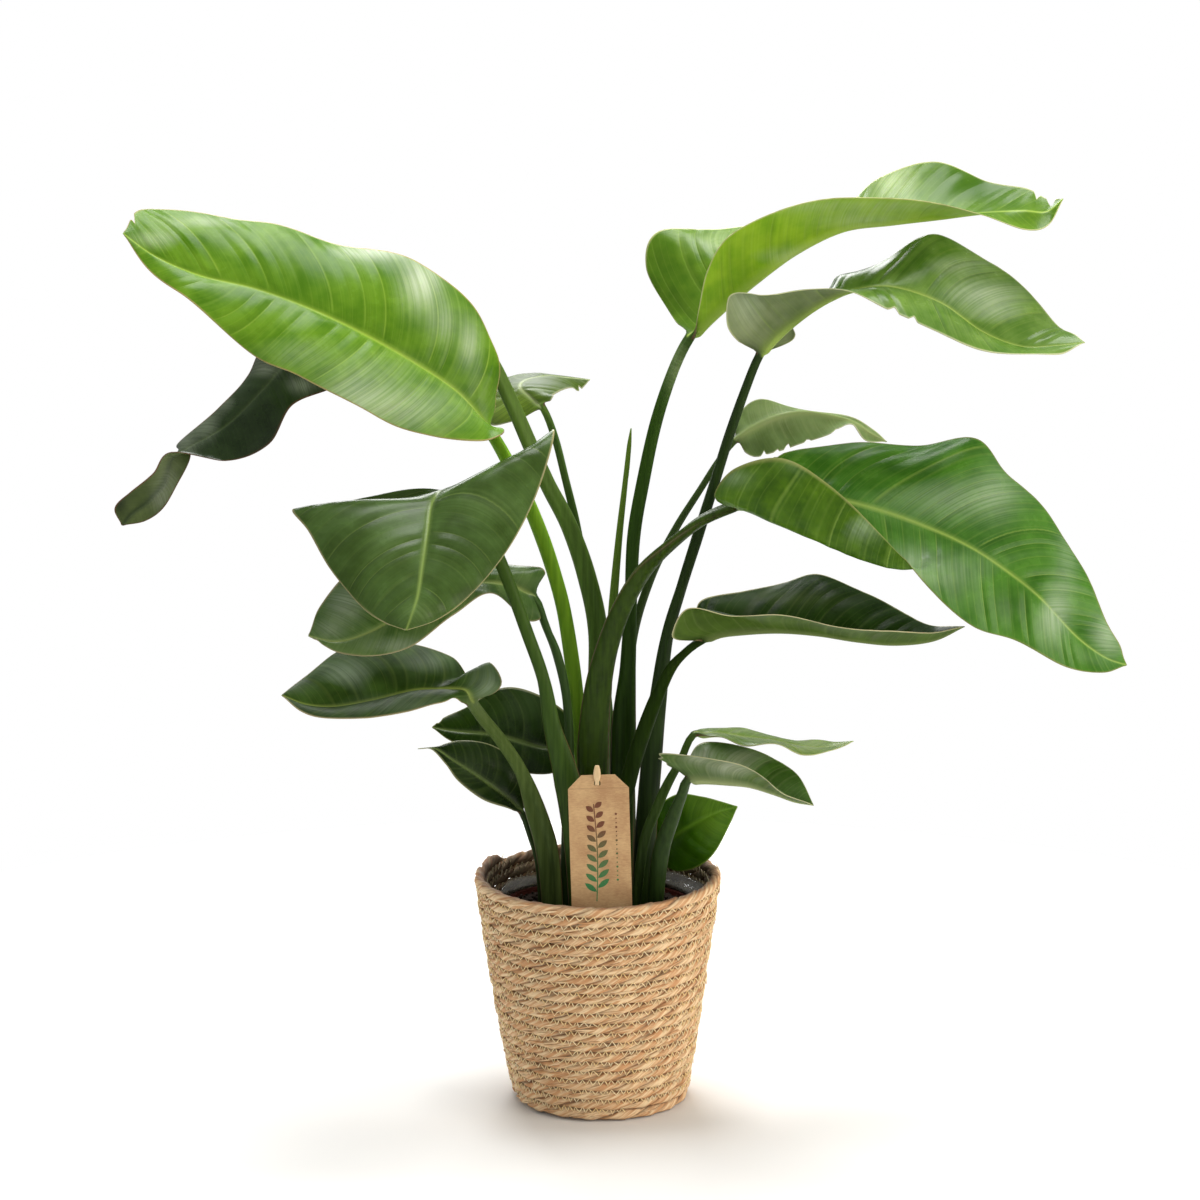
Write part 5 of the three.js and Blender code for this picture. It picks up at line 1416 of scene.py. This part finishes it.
def grass_material(name, pale, tan, brown):
    material, tree = new_material(name)
    grass = add_node(tree, "Attribute", attribute_name="grass")
    shade = add_node(tree, "Attribute", attribute_name="shade")
    shade_xyz = add_node(tree, "SeparateXYZ", {"Vector": shade.outputs["Vector"]})
    noises = []
    for stretch, detail in ((BLADE_STRETCH, 2.0), (FIBRE_STRETCH, 3.0)):
        stretched = add_node(tree, "VectorMath", {0: grass.outputs["Vector"], 1: stretch}, operation="MULTIPLY")
        noises.append(add_node(tree, "TexNoise", {"Vector": stretched, "Scale": 1.0, "Detail": detail}))
    blades, fibres = noises
    tan_share = add_node(tree, "MapRange", {"Value": blades, "From Min": 0.40, "From Max": 0.60})
    tone = add_node(tree, "MixRGB", {"Fac": tan_share, "Color1": linear(pale), "Color2": linear(tan)})
    line_share = add_node(tree, "MapRange", {"Value": fibres, "From Min": 0.5, "From Max": 0.8, "To Max": 0.4})
    # Painted shade in the grooves, where the shade mark's first number is low.
    groove_shade = add_node(tree, "MapRange", {"Value": shade_xyz.outputs["X"], "To Min": 0.85, "To Max": 0.0})
    # Painted shade on the inside of the wall, which lies in shade.
    inner = add_node(tree, "Math", {0: shade_xyz.outputs["Y"], 1: 0.85}, operation="MULTIPLY")
    for share, over in (
        (line_share, brown), (groove_shade, GROOVE_SHADE_COLOUR),
        (inner, INSIDE_SHADE_COLOUR),
    ):
        tone = add_node(tree, "MixRGB", {"Fac": share, "Color1": tone, "Color2": linear(over)})
    bump = add_node(tree, "Bump", {"Height": fibres, "Strength": 0.7, "Distance": 0.6 * MM})
    return finish_material(material, add_node(
        tree, "BsdfPrincipled", {"Base Color": tone, "Roughness": 0.72, "Normal": bump, "IOR": 1.5},
    ))


# %% [markdown]
# Both bundles run along the same path, half a twist apart, and share one material.

# %% Twist the two bundles
seagrass = grass_material("dried twisted seagrass", "#efd2a6", "#cb9767", "#8f5932")
for number, phase in ((1, 0.0), (2, math.pi)):
    rings, grass, shade = bundle_rings(phase, float(number))
    marks = {"grass": grass, "shade": shade}
    add_tube(f"seagrass_bundle_{number}", rings, seagrass, "basket", marks)

# %% [markdown]
# The coils are sewn together with a thin straw-coloured thread that zigzags over every groove, about one
# V every 8 mm. The thread lies on the outside of the rope, dives in at each point of the V and shows
# again at the next, and a second line of it shows inside near the rim.

# %% Sewing thread
STITCH_MM = 8.2
THREAD_RADIUS = 0.54
THREAD_SIDES = 4
STITCH_REACH = 3.2
STITCH_RADIUS = 112
THREAD_PROUD = 0.3
THREAD_SEED = 7
STITCH_JITTER = 0.0012
STITCH_VARIES = (0.6, 1.25)


def thread_rings(first_turn, last_turn, outward, inside_shade):
    rng = np.random.default_rng(THREAD_SEED)
    count = int((last_turn - first_turn) * 2 * math.pi * STITCH_RADIUS / STITCH_MM) * 2
    turns = np.linspace(first_turn, last_turn, count) + rng.normal(0, STITCH_JITTER, count)
    side = np.where(np.arange(count) % 2, 1.0, -1.0)
    reach = half_way(turns, 1) - OVERLAP + side * STITCH_REACH * rng.uniform(*STITCH_VARIES, count)
    tips = wall_path(turns, outward * 0.92, reach)
    middle_turns = (turns[1:] + turns[:-1]) / 2
    middles = wall_path(middle_turns, outward, half_way(middle_turns, 1) - OVERLAP)
    line = np.empty((2 * count - 1, 3))
    line[0::2] = tips
    line[1::2] = middles
    tangent = unit(np.gradient(line, axis=0))
    out = unit(line * np.array([1, 1, 0]))
    beside = unit(np.cross(out, tangent))
    out = np.cross(tangent, beside)
    angle = 2 * np.pi * np.arange(THREAD_SIDES) / THREAD_SIDES
    rings = line[:, None] + THREAD_RADIUS * (
        beside[:, None] * np.cos(angle)[None, :, None] + out[:, None] * np.sin(angle)[None, :, None]
    )
    place = np.zeros(rings.shape)
    place[..., 0] = np.arange(len(line))[:, None] * STITCH_MM / 2
    place[..., 1] = np.cos(angle)
    # The inside thread takes the painted shade of the inside wall.
    shade = np.array([1.0, inside_shade, 0.0]) + 0 * rings
    return rings, place, shade


# %% [markdown]
# The thread is a line of paler straw. It has the same finish as the rope, in its own colours, and its
# length is printed, because a cord's length is worth checking against what a sewer would use.

# %% Sew the coils
straw = grass_material("twisted straw thread", "#fff1c9", "#fbdd9c", "#e6c07c")
for name, first_turn, outward, inside_shade in (
    ("sewing_thread_outside", 0.6, ROPE_RADIUS + THREAD_PROUD, 0.0),
    ("sewing_thread_inside", COIL_ROWS - 5.0, -ROPE_RADIUS - THREAD_PROUD, 0.9),
):
    rings, grass, shade = thread_rings(first_turn, COIL_ROWS - 1.0, outward, inside_shade)
    add_tube(name, rings, straw, None, {"grass": grass, "shade": shade})
    length = np.linalg.norm(np.diff(rings.mean(1), axis=0), axis=1).sum()
    print(name, "is", round(length / 1000, 1), "m long")

# %% [markdown]
# Loose blades of grass stand off the rope here and there, where a flat blade has slipped out of the twist.
# Each is a short thin strip, flat as a blade of grass, that leaves the rope at a small angle.

# %% Loose blades
LOOSE_BLADES = 330
LOOSE_WIDTH = 2.1
LOOSE_THICKNESS = 0.35
LOOSE_SECTIONS = 6
LOOSE_LENGTHS = (12, 28)
LOOSE_SLANTS = (0.06, 0.28)
LOOSE_STARTS = (-3.5, 0.5)
LOOSE_SEED = 11


def loose_blades():
    rng = np.random.default_rng(LOOSE_SEED)
    points, faces, grass = [], [], []
    for _ in range(LOOSE_BLADES):
        turn = rng.uniform(0.3, COIL_ROWS - 0.2)
        length, slant, start = (rng.uniform(*span) for span in (LOOSE_LENGTHS, LOOSE_SLANTS, LOOSE_STARTS))
        share = np.linspace(0, 1, LOOSE_SECTIONS)
        turns = turn - share * length / (2 * math.pi * STITCH_RADIUS)
        proud = 0.35 + 0.4 * rng.random() * share ** 2
        line = np.concatenate([
            wall_path(np.array([t]), ROPE_RADIUS * 0.93 + out, start + slant * length * s)
            for t, out, s in zip(turns, proud, share)
        ])
        tangent = unit(np.gradient(line, axis=0))
        out = unit(line * np.array([1, 1, 0]))
        beside = unit(np.cross(tangent, out))
        taper = LOOSE_WIDTH / 2 * np.sin(np.pi * (0.12 + 0.86 * share)) ** 0.6
        ring = np.stack([
            line - beside * taper[:, None], line + out * LOOSE_THICKNESS, line + beside * taper[:, None],
            line - out * LOOSE_THICKNESS,
        ], 1)
        first = len(points) * LOOSE_SECTIONS * 4
        faces += tube_faces(LOOSE_SECTIONS, 4, first)
        points.append(ring.reshape(-1, 3))
        mark = np.zeros((LOOSE_SECTIONS, 4, 3))
        mark[..., 0] = (share * length)[:, None] + rng.uniform(0, 900)
        mark[..., 1] = rng.uniform(0, 60)
        grass.append(mark.reshape(-1, 3))
    return np.concatenate(points), faces, np.concatenate(grass)


points, faces, grass = loose_blades()
add_piece(
    "loose_grass_blades", points, faces, seagrass, None,
    {"grass": grass, "shade": np.array([[1.0, 0.0, 0.0]]) + 0 * grass},
)

# %% [markdown]
# Inside the basket hangs a thin clear film that keeps water off the grass. It is crumpled, its upper edge
# is uneven, and it shows only by the light on its folds. The film is a closed thin skin with a weak alpha.

# %% Liner of clear film
LINER_SIDES = 180
LINER_ROWS = 34
LINER_FLOOR = 12.6
LINER_EDGE_MEAN = 220
LINER_THICKNESS = 0.35
LINER_BULGE = 15


def liner_sheet():
    angle = 2 * np.pi * np.arange(LINER_SIDES) / LINER_SIDES
    edge = LINER_EDGE_MEAN + 3.5 * np.sin(angle + 2.0) + 2.0 * np.sin(3 * angle + 0.7) + 1.2 * np.sin(7 * angle + 2.2)
    share = np.linspace(0, 1, LINER_ROWS)[:, None] ** 0.35
    height = LINER_FLOOR + (edge[None, :] - LINER_FLOOR) * share
    wall = basket_radius(height) - ROPE_DIAMETER - 2.0
    loose = smoothstep(height, 206.5, 210)
    turn = angle[None, :]
    crease = (
        2.0 * np.sin(5 * turn + 0.05 * height) + 1.3 * np.abs(np.sin(8.5 * turn - 0.09 * height + 1))
        + 0.8 * np.abs(np.sin(15.5 * turn + 0.21 * height))
    )
    bulge = LINER_BULGE * loose * (1 - smoothstep(height, 209, 224)) * (0.8 + 0.2 * np.sin(3 * angle[None, :] + 1.1))
    radius = wall - 0.35 * crease * (0.3 + loose) - bulge
    wall_points = np.stack([radius * np.cos(angle), radius * np.sin(angle), height], -1)
    rings = [np.zeros((1, LINER_SIDES, 3)) + np.array([0, 0, LINER_FLOOR])]
    base = wall_points[:1] * np.array([0.5, 0.5, 1.0])
    inner = np.concatenate([rings[0] + (base - rings[0]) * 0.02, base, wall_points])
    normal = surface_normals(np.concatenate([inner[:, -1:], inner, inner[:, :1]], 1))[:, 1:-1]
    outside = inner - normal * LINER_THICKNESS / 2
    inside = inner + normal * LINER_THICKNESS / 2
    return np.concatenate([inside, outside[::-1]])


# %% [markdown]
# The film is polythene: clear, glossy and hardly there. A low alpha lets the grass show through it, and a noise paints
# it with dark and bright flecks: painted shade and painted highlights of crumpled film.

# %% Film finish
clear_film, tree = new_material("thin clear polythene film")
spot = add_node(tree, "TexCoord")
wrinkle = add_node(tree, "TexNoise", {"Vector": spot.outputs["Object"], "Scale": 38.0, "Detail": 2.0})
# Painted shade and painted highlights: dark and pale flecks mixed by the wrinkle noise.
tone = add_node(tree, "MixRGB", {"Fac": wrinkle, "Color1": linear("#28241f"), "Color2": linear("#8a877f")})
bump = add_node(tree, "Bump", {"Height": wrinkle, "Strength": 0.4, "Distance": 3.0 * MM})
finish_material(clear_film, add_node(
    tree, "BsdfPrincipled", {"Base Color": tone, "Roughness": 0.14, "IOR": 1.5, "Alpha": 0.36, "Normal": bump},
))
add_tube("liner_sheet", liner_sheet(), clear_film, "liner")

# %% [markdown]
# The grower's pot is injection-moulded polypropylene in a terracotta colour: thin, a little waxy, with a rolled lip.
# Only its lip shows in the basket, in shade, so its reds are painted darker than the plastic, as painted shade. The
# whole pot with its drain holes is there, and the plain solid has the right shape, so it stays and gets a finer
# material.

# %% Pot finish
pot_plastic, tree = new_material("moulded polypropylene in terracotta")
spot = add_node(tree, "TexCoord")
flow = add_node(tree, "TexNoise", {"Vector": spot.outputs["Object"], "Scale": 60.0, "Detail": 4.0})
# Painted shade: both reds are darker than the terracotta plastic, since its visible inside lies in shade.
tone = add_node(tree, "MixRGB", {"Fac": flow, "Color1": linear("#511a10"), "Color2": linear("#6b2a1c")})
grit = add_node(tree, "TexNoise", {"Vector": spot.outputs["Object"], "Scale": 900.0, "Detail": 2.0})
bump = add_node(tree, "Bump", {"Height": grit, "Strength": 0.2, "Distance": 0.2 * MM})
finish_material(pot_plastic, add_node(
    tree, "BsdfPrincipled", {"Base Color": tone, "Roughness": 0.45, "IOR": 1.49, "Normal": bump},
))


def finish_node(name, material):
    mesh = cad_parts[name].data
    mesh.materials.clear()
    mesh.materials.append(material)
    print(name, "keeps its solid and gets", material.name)


finish_node("grower_pot", pot_plastic)

# %% [markdown]
# Potting soil is dark, fibrous and crumbly. Its surface is an uneven disc, and on it lie many crumbs, each
# a small rough lump half sunk in it, and a few chips of pale perlite. The disc comes first.

# %% Soil
SOIL_RADIUS = 99.5
SOIL_RINGS = 34
SOIL_SIDES = 120
SOIL_FLOOR = 20
SOIL_EDGE_DROP = 9
SOIL_HEAP = 5.5
HEAP_FROM_TO = (70, 97)
SOIL_FLOOR_RADIUS = 70


def bumpy(x, y):
    broad = 1.1 * np.sin(0.21 * x + 1.3) * np.sin(0.17 * y + 0.4)
    return broad + 0.8 * np.sin(0.43 * x - 0.31 * y) + 0.6 * np.sin(0.8 * y + 0.5 * x)


def soil_body():
    angle = 2 * np.pi * np.arange(SOIL_SIDES) / SOIL_SIDES
    radius = SOIL_RADIUS * np.linspace(1, 0.01, SOIL_RINGS)[:, None]
    x, y = radius * np.cos(angle), radius * np.sin(angle)
    height = SOIL_TOP - 1.5 + bumpy(x, y) + SOIL_HEAP * smoothstep(radius, *HEAP_FROM_TO)
    top = np.stack([x, y, height], -1)
    below = [
        np.stack([ring_radius * np.cos(angle), ring_radius * np.sin(angle), 0 * angle + ring_height], -1)
        for ring_radius, ring_height in ((SOIL_FLOOR_RADIUS, SOIL_FLOOR), (SOIL_RADIUS, SOIL_TOP - SOIL_EDGE_DROP))
    ]
    return np.concatenate([below, top])


# %% [markdown]
# The crumbs are cubes with every corner pushed about at random. In their hundreds and at their size, that
# reads as broken peat, and it costs only twelve triangles a crumb.

# %% Crumbs
CRUMBS = 1500
CRUMB_SIZES = (0.9, 2.6)
CRUMB_SEED = 5
PERLITE_SHARE = 0.03
CUBE_CORNERS = np.array([[i, j, k] for i in (-1, 1) for j in (-1, 1) for k in (-1, 1)], float)
CUBE_FACES = ((0, 1, 3, 2), (4, 6, 7, 5), (0, 4, 5, 1), (2, 3, 7, 6), (0, 2, 6, 4), (1, 5, 7, 3))


def crumb_lumps():
    rng = np.random.default_rng(CRUMB_SEED)
    points, faces, chips = [], [], []
    for _ in range(CRUMBS):
        spread = (SOIL_RADIUS - 4) * math.sqrt(rng.random())
        turn = rng.uniform(0, 2 * math.pi)
        x, y = spread * math.cos(turn), spread * math.sin(turn)
        perlite = rng.random() < PERLITE_SHARE
        size = rng.uniform(*CRUMB_SIZES) * (0.8 if perlite else 1)
        lump = (CUBE_CORNERS + 0.25 * rng.normal(size=(8, 3))) * size * rng.uniform(0.5, 1.0, 3)
        heap = SOIL_HEAP * smoothstep(np.array(spread), *HEAP_FROM_TO)
        place = np.array([x, y, SOIL_TOP - 1.0 + bumpy(x, y) + heap])
        first = len(points) * 8
        points.append(lump + place)
        faces += [[first + corner for corner in face] for face in CUBE_FACES]
        chips.append(np.full((8, 3), 1.0 if perlite else 0.0))
    return np.concatenate(points), faces, np.concatenate(chips)


# %% [markdown]
# Peat is nearly black where it is moist and brown where it has dried, and it throws back no gloss. The
# crumbs share its finish: a number in each point tells the pale chips from the peat.

# %% Soil finish and pieces
peat, tree = new_material("crumbly peat soil with perlite")
spot = add_node(tree, "TexCoord")
chip = add_node(tree, "Attribute", attribute_name="chip")
chip_xyz = add_node(tree, "SeparateXYZ", {"Vector": chip.outputs["Vector"]})
grain = add_node(tree, "TexNoise", {"Vector": spot.outputs["Object"], "Scale": 420.0, "Detail": 5.0})
tone = add_node(tree, "MixRGB", {"Fac": grain, "Color1": linear("#0f0a08"), "Color2": linear("#2e2118")})
speck = add_node(tree, "MixRGB", {"Fac": chip_xyz.outputs["X"], "Color1": tone, "Color2": linear("#cfc9bd")})
bump = add_node(tree, "Bump", {"Height": grain, "Strength": 1.0, "Distance": 1.0 * MM})
finish_material(peat, add_node(
    tree, "BsdfPrincipled",
    {
        "Base Color": speck, "Roughness": 0.92, "Normal": bump,
        "Specular IOR Level": 0.15,
    },
))

rings = soil_body()
add_tube("soil_body", rings, peat, "soil", {"chip": np.zeros(rings.shape)})
points, faces, chips = crumb_lumps()
add_piece("soil_crumbs", points, faces, peat, None, {"chip": chips})

# %% [markdown]
# The card is unbleached kraft board: warm brown, matte, with short fibres pressed into it and a crease
# below its cut corners. Rays from the middle of its slot find the outline, so that the slot and the
# outline are rings of equal length. Its slot is drawn closer round the stick than the solid's.

# %% Kraft card
TAG_FRONT = -94
TAG_TOP = 369
TAG_TURN = math.radians(1.7)
TAG_OUTLINE = [(-31, -166), (31, -166), (31, -14), (17, 0), (-17, 0), (-31, -14)]
TAG_THICKNESS = 0.8
CREASE_BELOW_TOP = 14
SLOT_MIDDLE = (-1, -8.7)
SLOT_HALF = (3.3, 2.7)
SLOT_RAYS = 32


def on_card(flat, depth):
    """Places in the card's own plane, turned as the card is and set up at a depth behind its front."""
    turn = np.array([[math.cos(TAG_TURN), math.sin(TAG_TURN)], [-math.sin(TAG_TURN), math.cos(TAG_TURN)]])
    turned = np.asarray(flat, float) @ turn
    return np.column_stack([turned[:, 0], np.full(len(turned), TAG_FRONT + depth), turned[:, 1] + TAG_TOP])


def card_rings():
    outline = np.array(TAG_OUTLINE, float) - SLOT_MIDDLE
    corner_angles = np.arctan2(outline[:, 1], outline[:, 0])
    even_angles = 2 * np.pi * (np.arange(SLOT_RAYS) + 0.3) / SLOT_RAYS - np.pi
    angle = np.sort(np.concatenate([corner_angles, even_angles]))
    ray = np.stack([np.cos(angle), np.sin(angle)], 1)
    edge = np.roll(outline, -1, 0) - outline
    reach = outline[:, 0] * edge[:, 1] - outline[:, 1] * edge[:, 0]
    reach = reach / (ray[:, :1] * edge[:, 1] - ray[:, 1:] * edge[:, 0])
    rim = ray * np.where(reach > 0, reach, np.inf).min(1)[:, None] + SLOT_MIDDLE
    slot = ray / (np.abs(ray / SLOT_HALF) ** 4).sum(1)[:, None] ** 0.25 + SLOT_MIDDLE
    return np.stack([on_card(rim, 0), on_card(slot, 0), on_card(slot, TAG_THICKNESS), on_card(rim, TAG_THICKNESS)])


# %% [markdown]
# Kraft board shows its fibres, pressed flat and mostly lying one way, under softer clouds of tone. The
# crease is a darker line at a fixed distance below the card's top, found by a dot product with the card's
# own upward direction.

# %% Card finish and piece
kraft, tree = new_material("unbleached kraft board")
spot = add_node(tree, "TexCoord")
stretched = add_node(tree, "VectorMath", {0: spot.outputs["Object"], 1: (260, 900, 900)}, operation="MULTIPLY")
pulp = add_node(tree, "TexNoise", {"Vector": stretched, "Scale": 1.0, "Detail": 5.0, "Roughness": 0.65})
soft = add_node(tree, "TexNoise", {"Vector": spot.outputs["Object"], "Scale": 45.0, "Detail": 2.0})
mixed = add_node(tree, "Math", {0: pulp, 1: soft}, operation="ADD")
share = add_node(tree, "MapRange", {"Value": mixed, "From Min": 0.75, "From Max": 1.25})
tone = add_node(tree, "MixRGB", {"Fac": share, "Color1": linear("#b48b61"), "Color2": linear("#d1ad7d")})
up_card = add_node(
    tree, "VectorMath",
    {0: spot.outputs["Object"], 1: (-math.sin(TAG_TURN), 0, math.cos(TAG_TURN))}, operation="DOT_PRODUCT",
)
crease_height = (TAG_TOP * math.cos(TAG_TURN) - CREASE_BELOW_TOP) * MM
past_crease = add_node(tree, "Math", {0: up_card.outputs["Value"], 1: crease_height}, operation="SUBTRACT")
from_crease = add_node(tree, "Math", {0: past_crease}, operation="ABSOLUTE")
crease = add_node(tree, "MapRange", {"Value": from_crease, "From Max": 0.8 * MM, "To Min": 0.5, "To Max": 0.0})
creased = add_node(tree, "MixRGB", {"Fac": crease, "Color1": tone, "Color2": linear("#97734c")})
bump = add_node(tree, "Bump", {"Height": pulp, "Strength": 0.25, "Distance": 0.2 * MM})
finish_material(kraft, add_node(tree, "BsdfPrincipled", {"Base Color": creased, "Roughness": 0.82, "Normal": bump}))
rings = card_rings()
faces = ring_faces(len(rings) + 1, rings.shape[1]) % (rings.shape[0] * rings.shape[1])
add_piece("card", rings.reshape(-1, 3), faces, kraft, "tag", smooth=False)

# %% [markdown]
# The card's front is printed with a plain sprig of leaves that runs from brown at the top to green at the
# foot, and a line of small dots. The print is a thin coat of ink.

# %% Printed sprig
INK_MM = 0.12
INK_SINK = 0.05
SPRIG_TOP = -30
SPRIG_FOOT = -132
SPRIG_LEAVES = 9
SPRIG_MIDDLE = -5
SPRIG_SWAY = 2.0
SPRIG_SWAY_LENGTH = 30
STEM_HALF = 0.5
SPRIG_LEAF_WIDTH = 5.6
DOTS = 16
DOT_SPACING = 4.6
DOT_COLUMN = 17
LEAF_CLEAR = 0.7


def ink_wafer(outline):
    """A closed wafer of ink with the given outline on the card, in the card's own millimetres."""
    return np.stack([on_card(outline, -INK_MM), on_card(outline, INK_SINK)])


def sprig_leaf(x, z, length, lean):
    share = np.linspace(0, 1, 9)
    half = SPRIG_LEAF_WIDTH / 2 * np.sin(np.pi * share) ** 0.8
    spine = np.stack([length * share * math.cos(lean), length * share * math.sin(lean)], 1)
    across = np.array([-math.sin(lean), math.cos(lean)])
    return np.vstack([spine + across * half[:, None], (spine - across * half[:, None])[-2:0:-1]]) + np.array([x, z])


def stem_at(height):
    return SPRIG_MIDDLE + SPRIG_SWAY * np.sin((height - SPRIG_FOOT) / SPRIG_SWAY_LENGTH)


def sprig_outlines():
    heights = np.linspace(SPRIG_FOOT, SPRIG_TOP, 30)
    left, right = (np.column_stack([stem_at(heights) + beside, heights]) for beside in (-STEM_HALF, STEM_HALF))
    outlines = [np.vstack([left, right[::-1]])]
    for k in range(SPRIG_LEAVES):
        height = SPRIG_FOOT + 14 + k * (SPRIG_TOP - SPRIG_FOOT - 18) / (SPRIG_LEAVES - 1)
        base = stem_at(height)
        size = 15 - 0.7 * k
        outlines.append(sprig_leaf(base + LEAF_CLEAR, height, size, math.radians(38)))
        outlines.append(sprig_leaf(base - LEAF_CLEAR, height - 4, size, math.radians(142)))
    for k in range(DOTS):
        centre = (DOT_COLUMN, SPRIG_FOOT + 22 + DOT_SPACING * k)
        radius = 0.75 if k % 3 else 1.2
        angle = 2 * np.pi * np.arange(10) / 10
        outlines.append(np.column_stack([centre[0] + radius * np.cos(angle), centre[1] + radius * np.sin(angle)]))
    return outlines


def print_mesh(outlines):
    points, faces, first = [], [], 0
    for outline in outlines:
        points.append(ink_wafer(outline).reshape(-1, 3))
        faces += tube_faces(2, len(outline), first)
        first += 2 * len(outline)
    return np.concatenate(points), faces


# %% [markdown]
# The ink is matte and a little worn, so the board shows through it in specks. Its tone changes with height,
# from green to brown, which needs nothing more than the point's own height.

# %% Ink finish and piece
ink, tree = new_material("matte vegetable ink")
spot = add_node(tree, "TexCoord")
spot_xyz = add_node(tree, "SeparateXYZ", {"Vector": spot.outputs["Object"]})
height = add_node(tree, "MapRange", {"Value": spot_xyz.outputs["Z"], "From Min": 0.255, "From Max": 0.315})
speckle = add_node(tree, "TexNoise", {"Vector": spot.outputs["Object"], "Scale": 1400.0, "Detail": 2.0})
tone = add_node(tree, "MixRGB", {"Fac": height, "Color1": linear("#2f7d45"), "Color2": linear("#6b3a22")})
worn = add_node(tree, "MapRange", {"Value": speckle, "From Min": 0.55, "From Max": 0.8, "To Max": 0.35})
printed = add_node(tree, "MixRGB", {"Fac": worn, "Color1": tone, "Color2": linear("#b48b61")})
finish_material(ink, add_node(tree, "BsdfPrincipled", {"Base Color": printed, "Roughness": 0.7}))
points, faces = print_mesh(sprig_outlines())
add_piece("tag_print", points, faces, ink, smooth=False)

# %% [markdown]
# The stick is split birch, planed flat. A thin neck carries its rounded head forward through the slot of
# the card. Its rings have more points and stations than the plain solid's, so that the bend is smooth.

# %% Stick
# Each row: place from front to back, height, width and thickness
STICK_ROWS = [
    [-91.7, 160, 6.0, 2.4], [-91.7, 250, 6.6, 2.4], [-91.7, 335, 7.0, 2.4], [-91.7, 351, 6.6, 2.4],
    [-92.0, 355, 5.2, 1.8], [-92.45, 357.4, 4.4, 1.2], [-93.6, 360.3, 4.4, 1.1], [-94.75, 363.2, 4.6, 1.2],
    [-95.3, 364.6, 5.8, 2.1], [-95.5, 367, 7.0, 2.6], [-95.6, 371, 7.6, 2.8], [-95.6, 375, 6.4, 2.7],
    [-95.55, 378.3, 4.6, 2.5], [-95.5, 379.2, 3.8, 1.8], [-95.5, 379.4, 1.6, 1.0],
]
STICK_X = -1
STICK_SIDES = 24
STICK_SQUARENESS = 0.55


def stick_rings():
    angle = 2 * np.pi * (np.arange(STICK_SIDES) + 0.5) / STICK_SIDES
    rows = np.array(STICK_ROWS)
    cos, sin = np.cos(angle), np.sin(angle)
    x = np.sign(cos) * np.abs(cos) ** STICK_SQUARENESS
    y = np.sign(sin) * np.abs(sin) ** STICK_SQUARENESS
    return np.stack([
        STICK_X + rows[:, 2:3] / 2 * x, rows[:, :1] + rows[:, 3:] / 2 * y, rows[:, 1:2] + 0 * x,
    ], -1)


birch, tree = new_material("planed birch")
spot = add_node(tree, "TexCoord")
stretched = add_node(tree, "VectorMath", {0: spot.outputs["Object"], 1: (1500, 1500, 60)}, operation="MULTIPLY")
grain = add_node(tree, "TexNoise", {"Vector": stretched, "Scale": 1.0, "Detail": 3.0})
tone = add_node(tree, "MixRGB", {"Fac": grain, "Color1": linear("#c8a576"), "Color2": linear("#f2d8aa")})
bump = add_node(tree, "Bump", {"Height": grain, "Strength": 0.3, "Distance": 0.2 * MM})
finish_material(birch, add_node(tree, "BsdfPrincipled", {"Base Color": tone, "Roughness": 0.6, "Normal": bump}))
add_tube("stick_planed", stick_rings(), birch, "stick")
